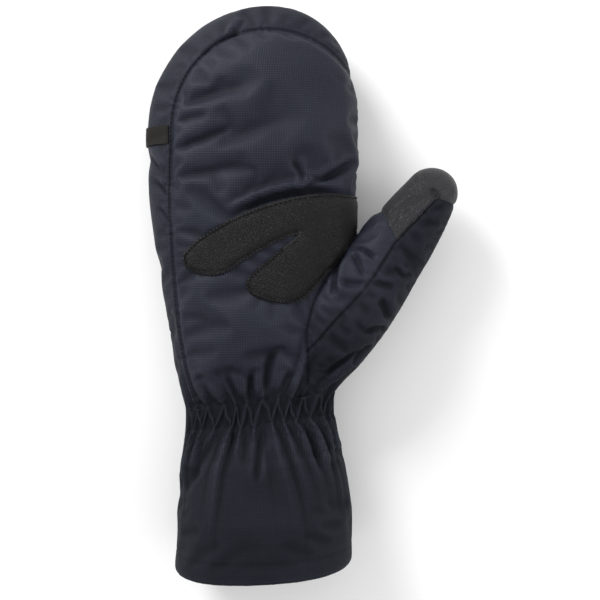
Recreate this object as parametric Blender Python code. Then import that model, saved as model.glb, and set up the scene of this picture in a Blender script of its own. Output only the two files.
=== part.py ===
"""Insulated mitten with a gauntlet cuff, for the right hand, lying palm up on the back of its hand.

Metres. +Z is up out of the palm, +Y points to the fingertips, +X to the thumb. The origin is on the
flattened back of the hand, on the hand's centre line and halfway from the wrist to the fingertips.
The mitten is sewn from padded panels, so the hand and the thumb are two hollow padded forms that are
cut along their seams. The wrist casing and the cuff go on from the hand's own sections.
"""

import math
from collections import namedtuple

import bmesh
import bpy
import numpy as np

# Hand, from the wrist seam to the fingertips
HAND_LENGTH = 0.217
HAND_WIDTH = 0.1155
HAND_DEPTH = 0.054
TIP_LENGTH = 0.0715
PADDING = 0.006

# Wrist. Its seam, like the hem, is higher on the thumb side by a rise.
WRIST_WIDTH = 0.081
WRIST_DEPTH = 0.043
WRIST_LIFT = 0.003
WRIST_RISE = 0.0097
CASING_LENGTH = 0.012
CASING_WALL = 0.004

# Cuff, from the casing to the hem
CUFF_LENGTH = 0.076
HEM_WIDTH = 0.0965
HEM_DEPTH = 0.066
HEM_RAKE = 0.006
HEM_RISE = 0.0048
CUFF_WALL = 0.0025

# Thumb, along its bent centre line from the wrist to the tip
THUMB_REACH = 0.1525
THUMB_WIDTH = 0.037
THUMB_DEPTH = 0.034
THUMB_HEIGHT = 0.029
THUMB_PADDING = 0.005
THUMB_ROOT_OUT = 0.0232
THUMB_ROOT_DROP = 0.0029

# Gusset, patch and tab
GUSSET_INSET = 0.0138
GUSSET_TIP_INSET = 0.012
PATCH_THICKNESS = 0.0011
TAB_THICKNESS = 0.0009
TAB_WIDTH = 0.011
TAB_UP = 0.0355

# Gathers, resting face and clearance
GATHER_COUNT = 20
GATHER_DEPTH = 0.0012
CUFF_FOLD_DEPTH = 0.0016
PLAIN_SIDE = 0.075
REST_PRESS = 0.0025
GAP = 0.0003

# Places that follow from the sizes
WRIST_Y = -HAND_LENGTH / 2
FINGERTIP_Y = HAND_LENGTH / 2
TIP_START_Y = FINGERTIP_Y - TIP_LENGTH
CASING_END_Y = WRIST_Y - CASING_LENGTH
HEM_Y = CASING_END_Y - CUFF_LENGTH
SIDE_SEAM_Z = 0.45 * HAND_DEPTH
BEYOND = 0.02
THUMB_RUN_ON = 0.03

# Section shape: a higher power is squarer
TOP_POWER = 2.4
CENTRE_SHARE = 0.46

# Hand sections from the wrist seam to where the fingertips start to round off.
# along: share of that length. width, depth: 0 is the wrist's, 1 is the full hand's.
# lift: 1 is the wrist's lift off the floor, 0 rests. lean: centre line, share of the hand's width.
HandRow = namedtuple("HandRow", "along width depth lift lean")
HAND_ROWS = [
    HandRow(0.00, 0.00, 0.00, 1.00, -0.004),
    HandRow(0.10, 0.18, 0.32, 0.70, -0.010),
    HandRow(0.22, 0.36, 0.66, 0.20, -0.012),
    HandRow(0.38, 0.57, 0.90, 0.00, -0.014),
    HandRow(0.56, 0.77, 1.00, 0.00, -0.020),
    HandRow(0.76, 0.92, 1.00, 0.00, -0.030),
    HandRow(1.00, 1.00, 0.96, 0.00, -0.028),
]
TIP_LEAN = 0.038

# Cuff sections from the casing to the hem. flare: 0 is the wrist's size, 1 is the hem's.
# lean: centre line, share of the hem's width.
CuffRow = namedtuple("CuffRow", "along flare lift lean")
CUFF_ROWS = [
    CuffRow(0.00, 0.04, 1.00, 0.000),
    CuffRow(0.12, 0.24, 0.80, 0.006),
    CuffRow(0.28, 0.50, 0.35, 0.013),
    CuffRow(0.50, 0.74, 0.00, 0.028),
    CuffRow(0.75, 0.96, 0.00, 0.032),
    CuffRow(1.00, 1.01, 0.00, 0.026),
]

# Thumb sections. along: share of the reach. heading: degrees from +Y towards +X.
# width, depth: shares of half the thumb's. height: centre, share of the thumb's height.
# power: how square the section is.
ThumbRow = namedtuple("ThumbRow", "along heading width depth height power")
THUMB_ROWS = [
    ThumbRow(0.00, 2.0, 0.92, 0.97, 0.79, 2.4),
    ThumbRow(0.07, 12.0, 0.91, 1.01, 0.81, 2.5),
    ThumbRow(0.16, 31.5, 0.98, 1.12, 0.88, 2.7),
    ThumbRow(0.25, 33.5, 1.15, 1.29, 0.97, 3.0),
    ThumbRow(0.40, 34.5, 1.23, 1.47, 1.00, 3.0),
    ThumbRow(0.50, 36.0, 1.20, 1.38, 1.00, 2.8),
    ThumbRow(0.60, 36.0, 1.11, 1.14, 1.00, 2.5),
    ThumbRow(0.70, 35.0, 1.04, 1.02, 1.00, 2.3),
    ThumbRow(0.82, 34.0, 0.92, 0.96, 1.00, 2.2),
    ThumbRow(0.90, 34.0, 0.80, 0.88, 1.00, 2.1),
]

# Gusset seam up the little finger side. along: share from the wrist to where the tip rounds off.
# inset: share of the gusset's inset from the outline.
GussetRow = namedtuple("GussetRow", "along inset")
GUSSET_ROWS = [
    GussetRow(0.00, 0.52),
    GussetRow(0.25, 0.44),
    GussetRow(0.45, 0.56),
    GussetRow(0.70, 0.80),
    GussetRow(1.00, 1.00),
]

# Thumb seam that faces up. side: offset from the centre line, share of the thumb's width.
SeamRow = namedtuple("SeamRow", "along side")
THUMB_SEAM_ROWS = [
    SeamRow(-0.06, -0.62),
    SeamRow(0.10, -0.35),
    SeamRow(0.21, -0.17),
    SeamRow(0.34, -0.10),
    SeamRow(0.50, -0.02),
    SeamRow(0.68, -0.04),
    SeamRow(0.82, 0.04),
    SeamRow(0.90, 0.09),
]
CAP_INNER_SHARES = (0.750, 0.685)
CAP_OUTER_SHARES = (0.890, 0.920)

# Palm patch outline. x: share of the hand's width from the centre line.
# y: share of the hand's length from the origin. Round corners take more points.
PatchPoint = namedtuple("PatchPoint", "x y")
PATCH_UPPER_EDGE = [
    PatchPoint(0.560, 0.010),
    PatchPoint(0.330, 0.018),
    PatchPoint(0.120, 0.001),
    PatchPoint(-0.080, -0.036),
    PatchPoint(-0.260, -0.088),
    PatchPoint(-0.355, -0.134),
]
PATCH_LONG_PRONG = [
    PatchPoint(-0.345, -0.168),
    PatchPoint(-0.270, -0.184),
    PatchPoint(-0.170, -0.184),
    PatchPoint(-0.040, -0.140),
    PatchPoint(0.110, -0.096),
    PatchPoint(0.190, -0.082),
]
PATCH_SHORT_PRONG = [
    PatchPoint(0.110, -0.118),
    PatchPoint(-0.030, -0.180),
    PatchPoint(-0.060, -0.212),
    PatchPoint(-0.020, -0.238),
    PatchPoint(0.090, -0.254),
    PatchPoint(0.190, -0.249),
    PatchPoint(0.275, -0.207),
    PatchPoint(0.350, -0.168),
    PatchPoint(0.560, -0.120),
]

# Main folds of the palm. Ends in shares of the hand's width (x) and length (y) from the origin.
# rise: share of the padding, below 0 is a crease. spread: share of the hand's width.
FoldRow = namedtuple("FoldRow", "x0 y0 x1 y1 rise spread")
PALM_FOLDS = [
    FoldRow(-0.16, -0.020, 0.14, 0.030, -0.34, 0.040),
    FoldRow(0.14, 0.030, 0.46, 0.036, -0.40, 0.040),
    FoldRow(-0.36, 0.040, 0.10, 0.060, 0.30, 0.060),
    FoldRow(-0.36, 0.120, 0.02, 0.170, -0.24, 0.045),
    FoldRow(-0.34, 0.215, -0.02, 0.270, -0.18, 0.045),
    FoldRow(0.08, 0.240, 0.40, 0.120, -0.16, 0.050),
    FoldRow(0.12, -0.400, 0.05, -0.330, -0.24, 0.040),
]

# Colour and roughness. Pieces that aren't named are nylon.
NAVY_NYLON = ((0.035, 0.042, 0.065), 0.45)
BLACK_LEATHER = ((0.030, 0.029, 0.028), 0.60)
FINISHES = {
    "palm_patch": BLACK_LEATHER,
    "thumb_tip": BLACK_LEATHER,
    "side_tab": ((0.028, 0.025, 0.022), 0.80),
}

# Mesh density
HAND_COLUMNS = 3 * GATHER_COUNT
OUTER_BODY_ROWS = 13
OUTER_TIP_ROWS = 7
INNER_BODY_ROWS = 6
INNER_TIP_ROWS = 5
CUFF_OUTER_ROWS = 9
CUFF_INNER_ROWS = 4
CASING_ROWS = 3
THUMB_COLUMNS = 24
THUMB_BODY_ROWS = 12
THUMB_CAP_ROWS = 4


def smooth_table(rows, column, at):
    """Column of a table read at a place along it, on a smooth curve through its rows."""
    xs = [row[0] for row in rows]
    ys = [getattr(row, column) for row in rows]
    at = min(max(at, xs[0]), xs[-1])
    i = min(max(np.searchsorted(xs, at) - 1, 0), len(xs) - 2)
    steps = [(ys[k + 1] - ys[k]) / (xs[k + 1] - xs[k]) for k in range(len(xs) - 1)]

    def slope(k):
        before = steps[max(k - 1, 0)]
        after = steps[min(k, len(steps) - 1)]
        if before * after <= 0:
            return 0.0
        return 2 * before * after / (before + after)

    span = xs[i + 1] - xs[i]
    u = (at - xs[i]) / span
    start = (1 + 2 * u) * (1 - u) ** 2 * ys[i] + u * (1 - u) ** 2 * span * slope(i)
    end = u * u * (3 - 2 * u) * ys[i + 1] + u * u * (u - 1) * span * slope(i + 1)
    return start + end


def mix(a, b, share):
    return a + (b - a) * share


def bump(value, centre, spread):
    return math.exp(-(((value - centre) / spread) ** 2))


# The body: hand, wrist and cuff are one row of sections across Y.
Section = namedtuple("Section", "x z half_width rise drop")


def hand_section(y, grow):
    """Section of the hand at y, its surface moved out by grow."""
    straight = TIP_START_Y - WRIST_Y
    along = (min(y, TIP_START_Y) - WRIST_Y) / straight
    width = mix(WRIST_WIDTH, HAND_WIDTH, smooth_table(HAND_ROWS, "width", along))
    depth = mix(WRIST_DEPTH, HAND_DEPTH, smooth_table(HAND_ROWS, "depth", along))
    low = mix(-REST_PRESS, WRIST_LIFT, smooth_table(HAND_ROWS, "lift", along))
    x = smooth_table(HAND_ROWS, "lean", along) * HAND_WIDTH
    z = mix(low, depth, CENTRE_SHARE)
    rise, drop = depth - z, z - low
    half_width = width / 2 + grow
    rise, drop = rise + grow, drop + grow
    if y > TIP_START_Y:
        share = min((y - TIP_START_Y) / (TIP_LENGTH + grow), 1.0)
        x = mix(x, TIP_LEAN * HAND_WIDTH, share**1.7)
        half_width *= math.sqrt(1 - share**2.2)
        rise *= (1 - share**2.6) ** 0.62
        drop *= (1 - share**2.6) ** 0.62
    return Section(x, z, half_width, rise, drop)


def cuff_section(y, grow):
    """Section of the wrist casing or the cuff at y, its surface moved out by grow."""
    along = max(CASING_END_Y - y, 0.0) / CUFF_LENGTH
    flare = smooth_table(CUFF_ROWS, "flare", along)
    if y > CASING_END_Y:
        flare *= (WRIST_Y - y) / CASING_LENGTH
    width = mix(WRIST_WIDTH, HEM_WIDTH, flare)
    depth = mix(WRIST_DEPTH, HEM_DEPTH, flare)
    low = mix(-REST_PRESS, WRIST_LIFT, smooth_table(CUFF_ROWS, "lift", along))
    z = mix(low, depth, CENTRE_SHARE)
    x = HAND_ROWS[0].lean * HAND_WIDTH + smooth_table(CUFF_ROWS, "lean", along) * HEM_WIDTH
    return Section(x, z, width / 2 + grow, depth - z + grow, z - low + grow)


def gather_swell(y, turn):
    """How far the gathers and the cuff's folds stand out at y. turn: 0 to 1 round from the plain side."""
    plain = min(turn, 1 - turn)
    fade = min(max(plain / PLAIN_SIDE - 0.4, 0.0), 1.0)
    waves = math.cos(2 * math.pi * GATHER_COUNT * turn)
    wide_waves = math.cos(math.pi * GATHER_COUNT * turn + 0.8)
    if y >= CASING_END_Y:
        above = max(y - WRIST_Y, 0.0)
        reach = bump(above, 0.0, 0.10 * HAND_LENGTH)
        return fade * GATHER_DEPTH * waves * reach
    below = (CASING_END_Y - y) / CUFF_LENGTH
    fine = GATHER_DEPTH * waves * bump(below, 0.0, 0.25)
    wide = CUFF_FOLD_DEPTH * wide_waves * bump(below, 0.3, 0.3)
    return fade * (fine + wide)


def fold_rise(x, y):
    """Height of the palm's folds above its plain surface."""
    total = 0.0
    for fold in PALM_FOLDS:
        start = np.array([fold.x0 * HAND_WIDTH, fold.y0 * HAND_LENGTH])
        end = np.array([fold.x1 * HAND_WIDTH, fold.y1 * HAND_LENGTH])
        run = end - start
        share = np.clip((np.array([x, y]) - start) @ run / (run @ run), 0, 1)
        away = np.linalg.norm(np.array([x, y]) - start - share * run)
        total += fold.rise * PADDING * bump(away, 0.0, fold.spread * HAND_WIDTH)
    return total


def wrist_shear(y):
    """Slant of the wrist and the hem: how far a section's Y moves for each metre of X."""
    below = min(max(CASING_END_Y - y, 0.0) / CUFF_LENGTH, 1.0)
    near = bump(y, (WRIST_Y + CASING_END_Y) / 2, 0.2 * HAND_LENGTH)
    return max(WRIST_RISE / WRIST_WIDTH * near, HEM_RISE / HEM_WIDTH * below)


def body_point(y, angle, grow):
    """Point of the body's surface moved out by grow. angle: 0 faces the thumb side, 90 degrees is up."""
    hand = y > WRIST_Y
    section = hand_section(y, grow) if hand else cuff_section(y, grow)
    across, up = math.cos(angle), math.sin(angle)
    side = math.copysign(abs(across) ** (2 / TOP_POWER), across)
    high = math.copysign(abs(up) ** (2 / TOP_POWER), up)
    turn = ((math.pi - angle) / (2 * math.pi)) % 1.0
    swell = gather_swell(y, turn)
    x = section.x + section.half_width * side + swell * across
    z = section.z + (section.rise if up > 0 else section.drop) * high + swell * up
    if hand and up > 0:
        z += fold_rise(x, y) * up
    z = max(z, max(-grow, 0.0))
    rake = HEM_RAKE * (2 * z / HEM_DEPTH - 1) * max(CASING_END_Y - y, 0.0) / CUFF_LENGTH
    return (x, y + wrist_shear(y) * x - rake, z)


def ring(y, grow, columns):
    """Points once round the body's section."""
    return [body_point(y, 2 * math.pi * k / columns, grow) for k in range(columns)]


# The thumb: sections across its bent centre line.
def thumb_line(along):
    """Point and heading of the thumb's centre line, at a share of its reach."""
    steps = 40
    x, y = THUMB_ROOT_OUT, WRIST_Y - THUMB_ROOT_DROP
    for k in range(steps):
        here = along * (k + 0.5) / steps
        heading = math.radians(smooth_table(THUMB_ROWS, "heading", here))
        x += THUMB_REACH * along / steps * math.sin(heading)
        y += THUMB_REACH * along / steps * math.cos(heading)
    return x, y, math.radians(smooth_table(THUMB_ROWS, "heading", along))


def thumb_ring(along, grow, columns):
    """Points once round the thumb's section, its surface moved out by grow, from its outer side."""
    last = THUMB_ROWS[-1].along
    half_width = smooth_table(THUMB_ROWS, "width", along) * THUMB_WIDTH / 2 + grow
    half_depth = smooth_table(THUMB_ROWS, "depth", along) * THUMB_DEPTH / 2 + grow
    height = smooth_table(THUMB_ROWS, "height", along) * THUMB_HEIGHT
    power = 2 / smooth_table(THUMB_ROWS, "power", along)
    if along > last:
        end = (along - last) / (1 - last + grow / THUMB_REACH)
        close = math.sqrt(max(1 - min(end, 1.0) ** 2, 0.0))
        half_width *= close
        half_depth *= close
    x, y, heading = thumb_line(along)
    points = []
    for k in range(columns):
        across, up = math.cos(2 * math.pi * k / columns), math.sin(2 * math.pi * k / columns)
        side = half_width * math.copysign(abs(across) ** power, across)
        z = height + half_depth * math.copysign(abs(up) ** power, up)
        points.append((x + side * math.cos(heading), y - side * math.sin(heading), max(z, 0.0)))
    return points


def thumb_stations(grow):
    """Shares of the reach where the thumb's sections stand, closer together in its round end."""
    last = THUMB_ROWS[-1].along
    tip_reach = 1 - last + grow / THUMB_REACH
    turns = [math.pi / 2 * k / THUMB_CAP_ROWS for k in range(1, THUMB_CAP_ROWS + 1)]
    body = np.linspace(-THUMB_RUN_ON + grow / THUMB_REACH, last, THUMB_BODY_ROWS)
    return [*body, *(last + tip_reach * math.sin(t) for t in turns)]


# Building meshes
def new_object(name, bm):
    """Object made from a bmesh, linked to the scene."""
    bmesh.ops.recalc_face_normals(bm, faces=bm.faces)
    mesh = bpy.data.meshes.new(name)
    bm.to_mesh(mesh)
    bm.free()
    obj = bpy.data.objects.new(name, mesh)
    bpy.context.scene.collection.objects.link(obj)
    return obj


def join_rings(bm, rings, wrap=False):
    """Triangles between each ring of points and the next. A ring of one point is a pole."""
    made = [[bm.verts.new(p) for p in points] for points in rings]
    pairs = list(zip(made, made[1:]))
    if wrap:
        pairs.append((made[-1], made[0]))
    for a, b in pairs:
        count = max(len(a), len(b))
        for k in range(count):
            n = (k + 1) % count
            here, there = a[k % len(a)], b[n % len(b)]
            for other in (a[n % len(a)], b[k % len(b)]):
                if other not in (here, there):
                    bm.faces.new([here, other, there])
    return made


def body_stations(start_y, rows):
    """Y places from start_y to where the fingertips round off, closer together at the wrist."""
    return [mix(start_y, TIP_START_Y, share**1.25) for share in np.linspace(0, 1, rows)]


def tip_stations(rows, grow):
    """Y places in the rounded fingertips, closer together towards the end."""
    turns = [math.pi / 2 * k / rows for k in range(1, rows)]
    return [TIP_START_Y + (TIP_LENGTH + grow) * math.sin(t) for t in turns]


def fingertip_pole(grow):
    end = TIP_START_Y + TIP_LENGTH + grow
    section = hand_section(end, grow)
    return [(section.x, end + wrist_shear(end) * section.x, section.z)]


def hand_rings(start_y, body_rows, tip_rows, grow):
    """Rings from start_y to the fingertips, ending in a pole."""
    places = body_stations(start_y, body_rows) + tip_stations(tip_rows, grow)
    rings = [ring(y, grow, HAND_COLUMNS) for y in places]
    return rings + [fingertip_pole(grow)]


def hand_shell():
    """Padded hand form, open at the wrist."""
    start = WRIST_Y + GAP / 2
    outer = hand_rings(start, OUTER_BODY_ROWS, OUTER_TIP_ROWS, 0.0)
    inner = hand_rings(start, INNER_BODY_ROWS, INNER_TIP_ROWS, -PADDING)
    bm = bmesh.new()
    join_rings(bm, list(reversed(inner)) + outer)
    return new_object("hand_shell", bm)


def open_tube(name, start_y, end_y, outer_rows, inner_rows, wall):
    """Wall between two sections of the body, open at both ends."""
    outer = [ring(y, 0.0, HAND_COLUMNS) for y in np.linspace(start_y, end_y, outer_rows)]
    inner = [ring(y, -wall, HAND_COLUMNS) for y in np.linspace(end_y, start_y, inner_rows)]
    bm = bmesh.new()
    join_rings(bm, outer + inner, wrap=True)
    return new_object(name, bm)


def surface_layer(name, places, angles, low, high):
    """Thin layer over the body between two distances from its surface."""
    bm = bmesh.new()
    layers = []
    for y in places:
        under = [body_point(y, a, low) for a in angles]
        over = [body_point(y, a, high) for a in reversed(angles)]
        layers.append(under + over)
    made = join_rings(bm, layers)
    bm.faces.new(made[0])
    bm.faces.new(made[-1])
    return new_object(name, bm)


def column_angles(first, last):
    """Angles of the body's columns from one column to another."""
    return [2 * math.pi * k / HAND_COLUMNS for k in range(first, last + 1)]


def hand_cavity():
    """Space inside the hand, run on past the wrist so that it cuts cleanly."""
    rings = hand_rings(WRIST_Y + GAP, INNER_BODY_ROWS, INNER_TIP_ROWS, -PADDING)
    first = [(x, y - BEYOND, z) for x, y, z in rings[0]]
    bm = bmesh.new()
    made = join_rings(bm, [first] + rings)
    bm.faces.new(made[0])
    return as_cutter(new_object("hand_cavity", bm))


def thumb_form(name, grow):
    """Closed form of the thumb, its surface moved out by grow. It runs on past the wrist."""
    stations = thumb_stations(grow)
    rings = [thumb_ring(s, grow, THUMB_COLUMNS) for s in stations[:-1]]
    rings.append(thumb_ring(stations[-1], grow, 1))
    bm = bmesh.new()
    made = join_rings(bm, rings)
    bm.faces.new(made[0])
    return new_object(name, bm)


def as_cutter(obj):
    obj.hide_render = True
    obj.display_type = "WIRE"
    return obj


def shifted(line, distance):
    """Plan line moved aside by a distance, to the left of its own direction."""
    points = np.array(line, float)
    ahead = np.vstack([points[1:], points[-1:]])
    behind = np.vstack([points[:1], points[:-1]])
    run = ahead - behind
    run /= np.linalg.norm(run, axis=1)[:, None]
    aside = np.column_stack([-run[:, 1], run[:, 0]])
    return [tuple(p) for p in points + aside * distance]


def prism(name, outline, low, high):
    """Upright solid over an outline in plan."""
    bm = bmesh.new()
    bottom = [bm.verts.new((x, y, low)) for x, y in outline]
    face = bm.faces.new(bottom)
    risen = bmesh.ops.extrude_face_region(bm, geom=[face])["geom"]
    verts = [item for item in risen if isinstance(item, bmesh.types.BMVert)]
    bmesh.ops.translate(bm, vec=(0, 0, high - low), verts=verts)
    return as_cutter(new_object(name, bm))


def cut(obj, cutter, operation="DIFFERENCE"):
    modifier = obj.modifiers.new(f"{operation.lower()} {cutter.name}", "BOOLEAN")
    modifier.operation = operation
    modifier.solver = "EXACT"
    modifier.object = cutter


def apply_modifiers(obj):
    """Replaces the object's mesh by its evaluated one."""
    graph = bpy.context.evaluated_depsgraph_get()
    mesh = bpy.data.meshes.new_from_object(obj.evaluated_get(graph))
    obj.modifiers.clear()
    obj.data = mesh
    return obj


def keep_largest(obj):
    """Drops the crumbs that a cut leaves beside the main body."""
    bm = bmesh.new()
    bm.from_mesh(obj.data)
    bmesh.ops.remove_doubles(bm, verts=bm.verts, dist=1e-7)
    left = set(bm.verts)
    groups = []
    while left:
        start = left.pop()
        group, edge = {start}, [start]
        while edge:
            vert = edge.pop()
            near = {e.other_vert(vert) for e in vert.link_edges} & left
            left -= near
            group |= near
            edge.extend(near)
        groups.append(group)
    largest = max(groups, key=len)
    crumbs = [vert for vert in bm.verts if vert not in largest]
    bmesh.ops.delete(bm, geom=crumbs, context="VERTS")
    bm.to_mesh(obj.data)
    bm.free()
    return obj


def cut_out(name, form, cuts):
    """Copy of a form, cut by each cutter in turn and named."""
    piece = bpy.data.objects.new(name, form.data.copy())
    bpy.context.scene.collection.objects.link(piece)
    for cutter, operation in cuts:
        cut(piece, cutter, operation)
    return keep_largest(apply_modifiers(piece))


def smooth_curve(points, per_span=4):
    """Points on a smooth curve through the given ones, ends kept."""
    p = np.array(points, float)
    p = np.vstack([2 * p[0] - p[1], p, 2 * p[-1] - p[-2]])
    found = []
    for k in range(1, len(p) - 2):
        for u in np.arange(per_span) / per_span:
            a, b, c, d = p[k - 1], p[k], p[k + 1], p[k + 2]
            found.append(
                0.5 * (2 * b + (c - a) * u + (2 * a - 5 * b + 4 * c - d) * u**2)
                + 0.5 * (3 * b - a - 3 * c + d) * u**3
            )
    found.append(p[-2])
    return [tuple(q) for q in found]


# Seams
def gusset_seam():
    """Plan line of the gusset's seam: up the little finger side, over the fingertips and out."""
    line = []
    for along in np.linspace(-0.15, 1.0, 12):
        y = mix(WRIST_Y, TIP_START_Y, along)
        section = hand_section(max(y, WRIST_Y), 0.0)
        inset = smooth_table(GUSSET_ROWS, "inset", along) * GUSSET_INSET
        x = section.x - section.half_width + inset
        line.append((x, y + wrist_shear(y) * x))
    left_x = line[-1][0]
    centre = TIP_LEAN * HAND_WIDTH
    right_x = centre + HAND_WIDTH / 2 - 0.1 * GUSSET_TIP_INSET
    top = TIP_LENGTH - GUSSET_TIP_INSET
    for turn in np.linspace(0, math.pi, 19)[1:]:
        side = (centre - left_x) if turn < math.pi / 2 else (right_x - centre)
        line.append((centre - side * math.cos(turn), TIP_START_Y + top * math.sin(turn)))
    return line


def thumb_seam():
    """Plan line of the seam between the thumb's two panels, from inside the palm to the cap."""
    line = []
    for row in THUMB_SEAM_ROWS:
        x, y, heading = thumb_line(row.along)
        side = row.side * THUMB_WIDTH
        line.append((x + side * math.cos(heading), y - side * math.sin(heading)))
    return smooth_curve(line)


def beside_thumb(along, side):
    """Plan point beside the thumb's centre line. side: share of the thumb's width."""
    x, y, heading = thumb_line(along)
    step = side * THUMB_WIDTH
    return (x + step * math.cos(heading), y - step * math.sin(heading))


def cap_seam():
    """Plan line of the thumb cap's edge: across the inner panel, up the seam and across the outer panel."""
    far_inner, near_inner = CAP_INNER_SHARES
    near_outer, far_outer = CAP_OUTER_SHARES
    climb = np.linspace(near_inner, near_outer, 4)
    return [
        beside_thumb(far_inner + 0.02, -0.85),
        beside_thumb(far_inner, -0.52),
        *[beside_thumb(s, smooth_table(THUMB_SEAM_ROWS, "side", s)) for s in climb],
        beside_thumb(far_outer, 0.48),
        beside_thumb(far_outer, 0.85),
    ]


# Pieces
def make_hand_panels(thumb_room):
    """Palm panel, back panel and side gusset, cut from the hand form along their seams."""
    shell = as_cutter(hand_shell())
    seam = gusset_seam()
    far = HAND_WIDTH

    def inside(distance):
        line = shifted(seam, distance)
        return [*line, (far, line[-1][1]), (far, line[0][1])]

    top = HAND_DEPTH + BEYOND
    half = GAP / 2
    upper = prism("palm_outline", inside(-half), SIDE_SEAM_Z + half, top)
    lower = prism("back_outline", inside(-half), -BEYOND, SIDE_SEAM_Z - half)
    both = prism("gusset_inner_outline", inside(half), -BEYOND, top)
    away = (thumb_room, "DIFFERENCE")
    return [
        cut_out("palm_panel", shell, [away, (upper, "INTERSECT")]),
        cut_out("back_panel", shell, [away, (lower, "INTERSECT")]),
        cut_out("side_gusset", shell, [(both, "DIFFERENCE")]),
    ]


def make_thumb_panels():
    """Thumb inner panel, outer panel and cap, cut from the thumb form along their seams."""
    form = as_cutter(thumb_form("thumb_form", 0.0))
    hollow = as_cutter(thumb_form("thumb_hollow", -THUMB_PADDING))
    cavity = hand_cavity()
    seam, edge = thumb_seam(), cap_seam()
    half = GAP / 2
    root, tip = (-BEYOND, 2 * WRIST_Y), (HAND_WIDTH, HAND_LENGTH)
    far_right, far_left = (2 * HAND_WIDTH, 2 * WRIST_Y), (-BEYOND, HAND_LENGTH)
    low, high = -BEYOND, HAND_DEPTH + BEYOND

    def side(name, line, distance, corners):
        return prism(name, [*shifted(line, distance), *corners], low, high), "DIFFERENCE"

    right = side("outer_side_cutter", seam, half, [tip, far_right, root])
    left = side("inner_side_cutter", seam, -half, [tip, far_left, root])
    beyond = side("past_cap_seam_cutter", edge, -half, [(2 * HAND_WIDTH, HAND_LENGTH), far_left])
    before = side("before_cap_seam_cutter", edge, half, [far_right, root])
    inside = (hollow, "DIFFERENCE")
    palm = (cavity, "DIFFERENCE")
    slant = wrist_shear(WRIST_Y)
    wrist = [(x, WRIST_Y + slant * x) for x in (HAND_WIDTH, -BEYOND)]
    below = side("below_wrist_cutter", wrist, -half, [root, (HAND_WIDTH, 2 * WRIST_Y)])
    return [
        cut_out("thumb_inner_panel", form, [inside, right, beyond, below, palm]),
        cut_out("thumb_outer_panel", form, [inside, left, beyond, below, palm]),
        cut_out("thumb_tip", form, [inside, before]),
    ]


def make_palm_patch(thumb_room):
    """Grip patch: a thin layer over the palm, cut to its outline and round the thumb."""
    lowest, highest = -0.30 * HAND_LENGTH, 0.10 * HAND_LENGTH
    places = body_stations(WRIST_Y + GAP / 2, OUTER_BODY_ROWS)
    places = [y for y in places if lowest < y < highest]
    angles = column_angles(1, HAND_COLUMNS // 2 - 3)
    patch = surface_layer("palm_patch", places, angles, GAP, GAP + PATCH_THICKNESS)
    edges = [PATCH_UPPER_EDGE, PATCH_LONG_PRONG, PATCH_SHORT_PRONG]
    outline = [
        (x * HAND_WIDTH, y * HAND_LENGTH)
        for edge in edges
        for x, y in smooth_curve(edge, 3)
    ]
    shape = prism("patch_outline", outline, SIDE_SEAM_Z, HAND_DEPTH + BEYOND)
    cut(patch, shape, "INTERSECT")
    cut(patch, thumb_room)
    return keep_largest(apply_modifiers(patch))


def make_side_tab():
    """Woven tab across the gusset, from seam to seam."""
    places = [TAB_UP - TAB_WIDTH / 2, TAB_UP + TAB_WIDTH / 2]
    middle_column = HAND_COLUMNS // 2
    angles = column_angles(middle_column - 6, middle_column + 6)
    return surface_layer("side_tab", places, angles, GAP, GAP + TAB_THICKNESS)


def material(name, colour, roughness):
    found = bpy.data.materials.new(name)
    found.use_nodes = True
    shader = found.node_tree.nodes["Principled BSDF"]
    shader.inputs["Base Color"].default_value = (*colour, 1.0)
    shader.inputs["Roughness"].default_value = roughness
    shader.inputs["Metallic"].default_value = 0.0
    return found


def clear_scene():
    for obj in list(bpy.data.objects):
        bpy.data.objects.remove(obj)


def main():
    clear_scene()
    thumb_room = as_cutter(thumb_form("thumb_room", GAP))
    pieces = [
        *make_hand_panels(thumb_room),
        *make_thumb_panels(),
        make_palm_patch(thumb_room),
        make_side_tab(),
        open_tube(
            "wrist_casing",
            WRIST_Y - GAP / 2,
            CASING_END_Y + GAP / 2,
            CASING_ROWS,
            CASING_ROWS - 1,
            CASING_WALL,
        ),
        open_tube(
            "cuff",
            CASING_END_Y - GAP / 2,
            HEM_Y,
            CUFF_OUTER_ROWS,
            CUFF_INNER_ROWS,
            CUFF_WALL,
        ),
    ]
    for piece in pieces:
        colour, roughness = FINISHES.get(piece.name, NAVY_NYLON)
        piece.data.materials.clear()
        piece.data.materials.append(material(f"{piece.name}_finish", colour, roughness))
        piece.data.shade_smooth()
        piece.data.set_sharp_from_angle(angle=math.radians(50))


if __name__ == "__main__":
    main()
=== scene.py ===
# %% [markdown]
# # An insulated mitten, sewn and gathered
#
# The object is a padded ripstop mitten for the right hand. It lies palm up on the back of its hand, with
# a grip patch on the palm, a leather cap on the thumb, a wrist drawn in by elastic, and an open gauntlet
# cuff. Everything on it is soft, so this lesson is about cloth.
#
# A real mitten is cut flat, sewn along its seams and then filled. The lesson goes the other way round.
# It builds one closed skin with the mitten's true size, lets a cloth simulation blow it up a little so
# that it wrinkles between its seams, and then cuts that skin along the seams into the real panels.
#
# The first lines load the measured frame that every piece has to fit.

# %% Load the frame
import math
from collections import namedtuple

import bmesh
import bpy
import numpy as np
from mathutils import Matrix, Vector
from mathutils.bvhtree import BVHTree


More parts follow.
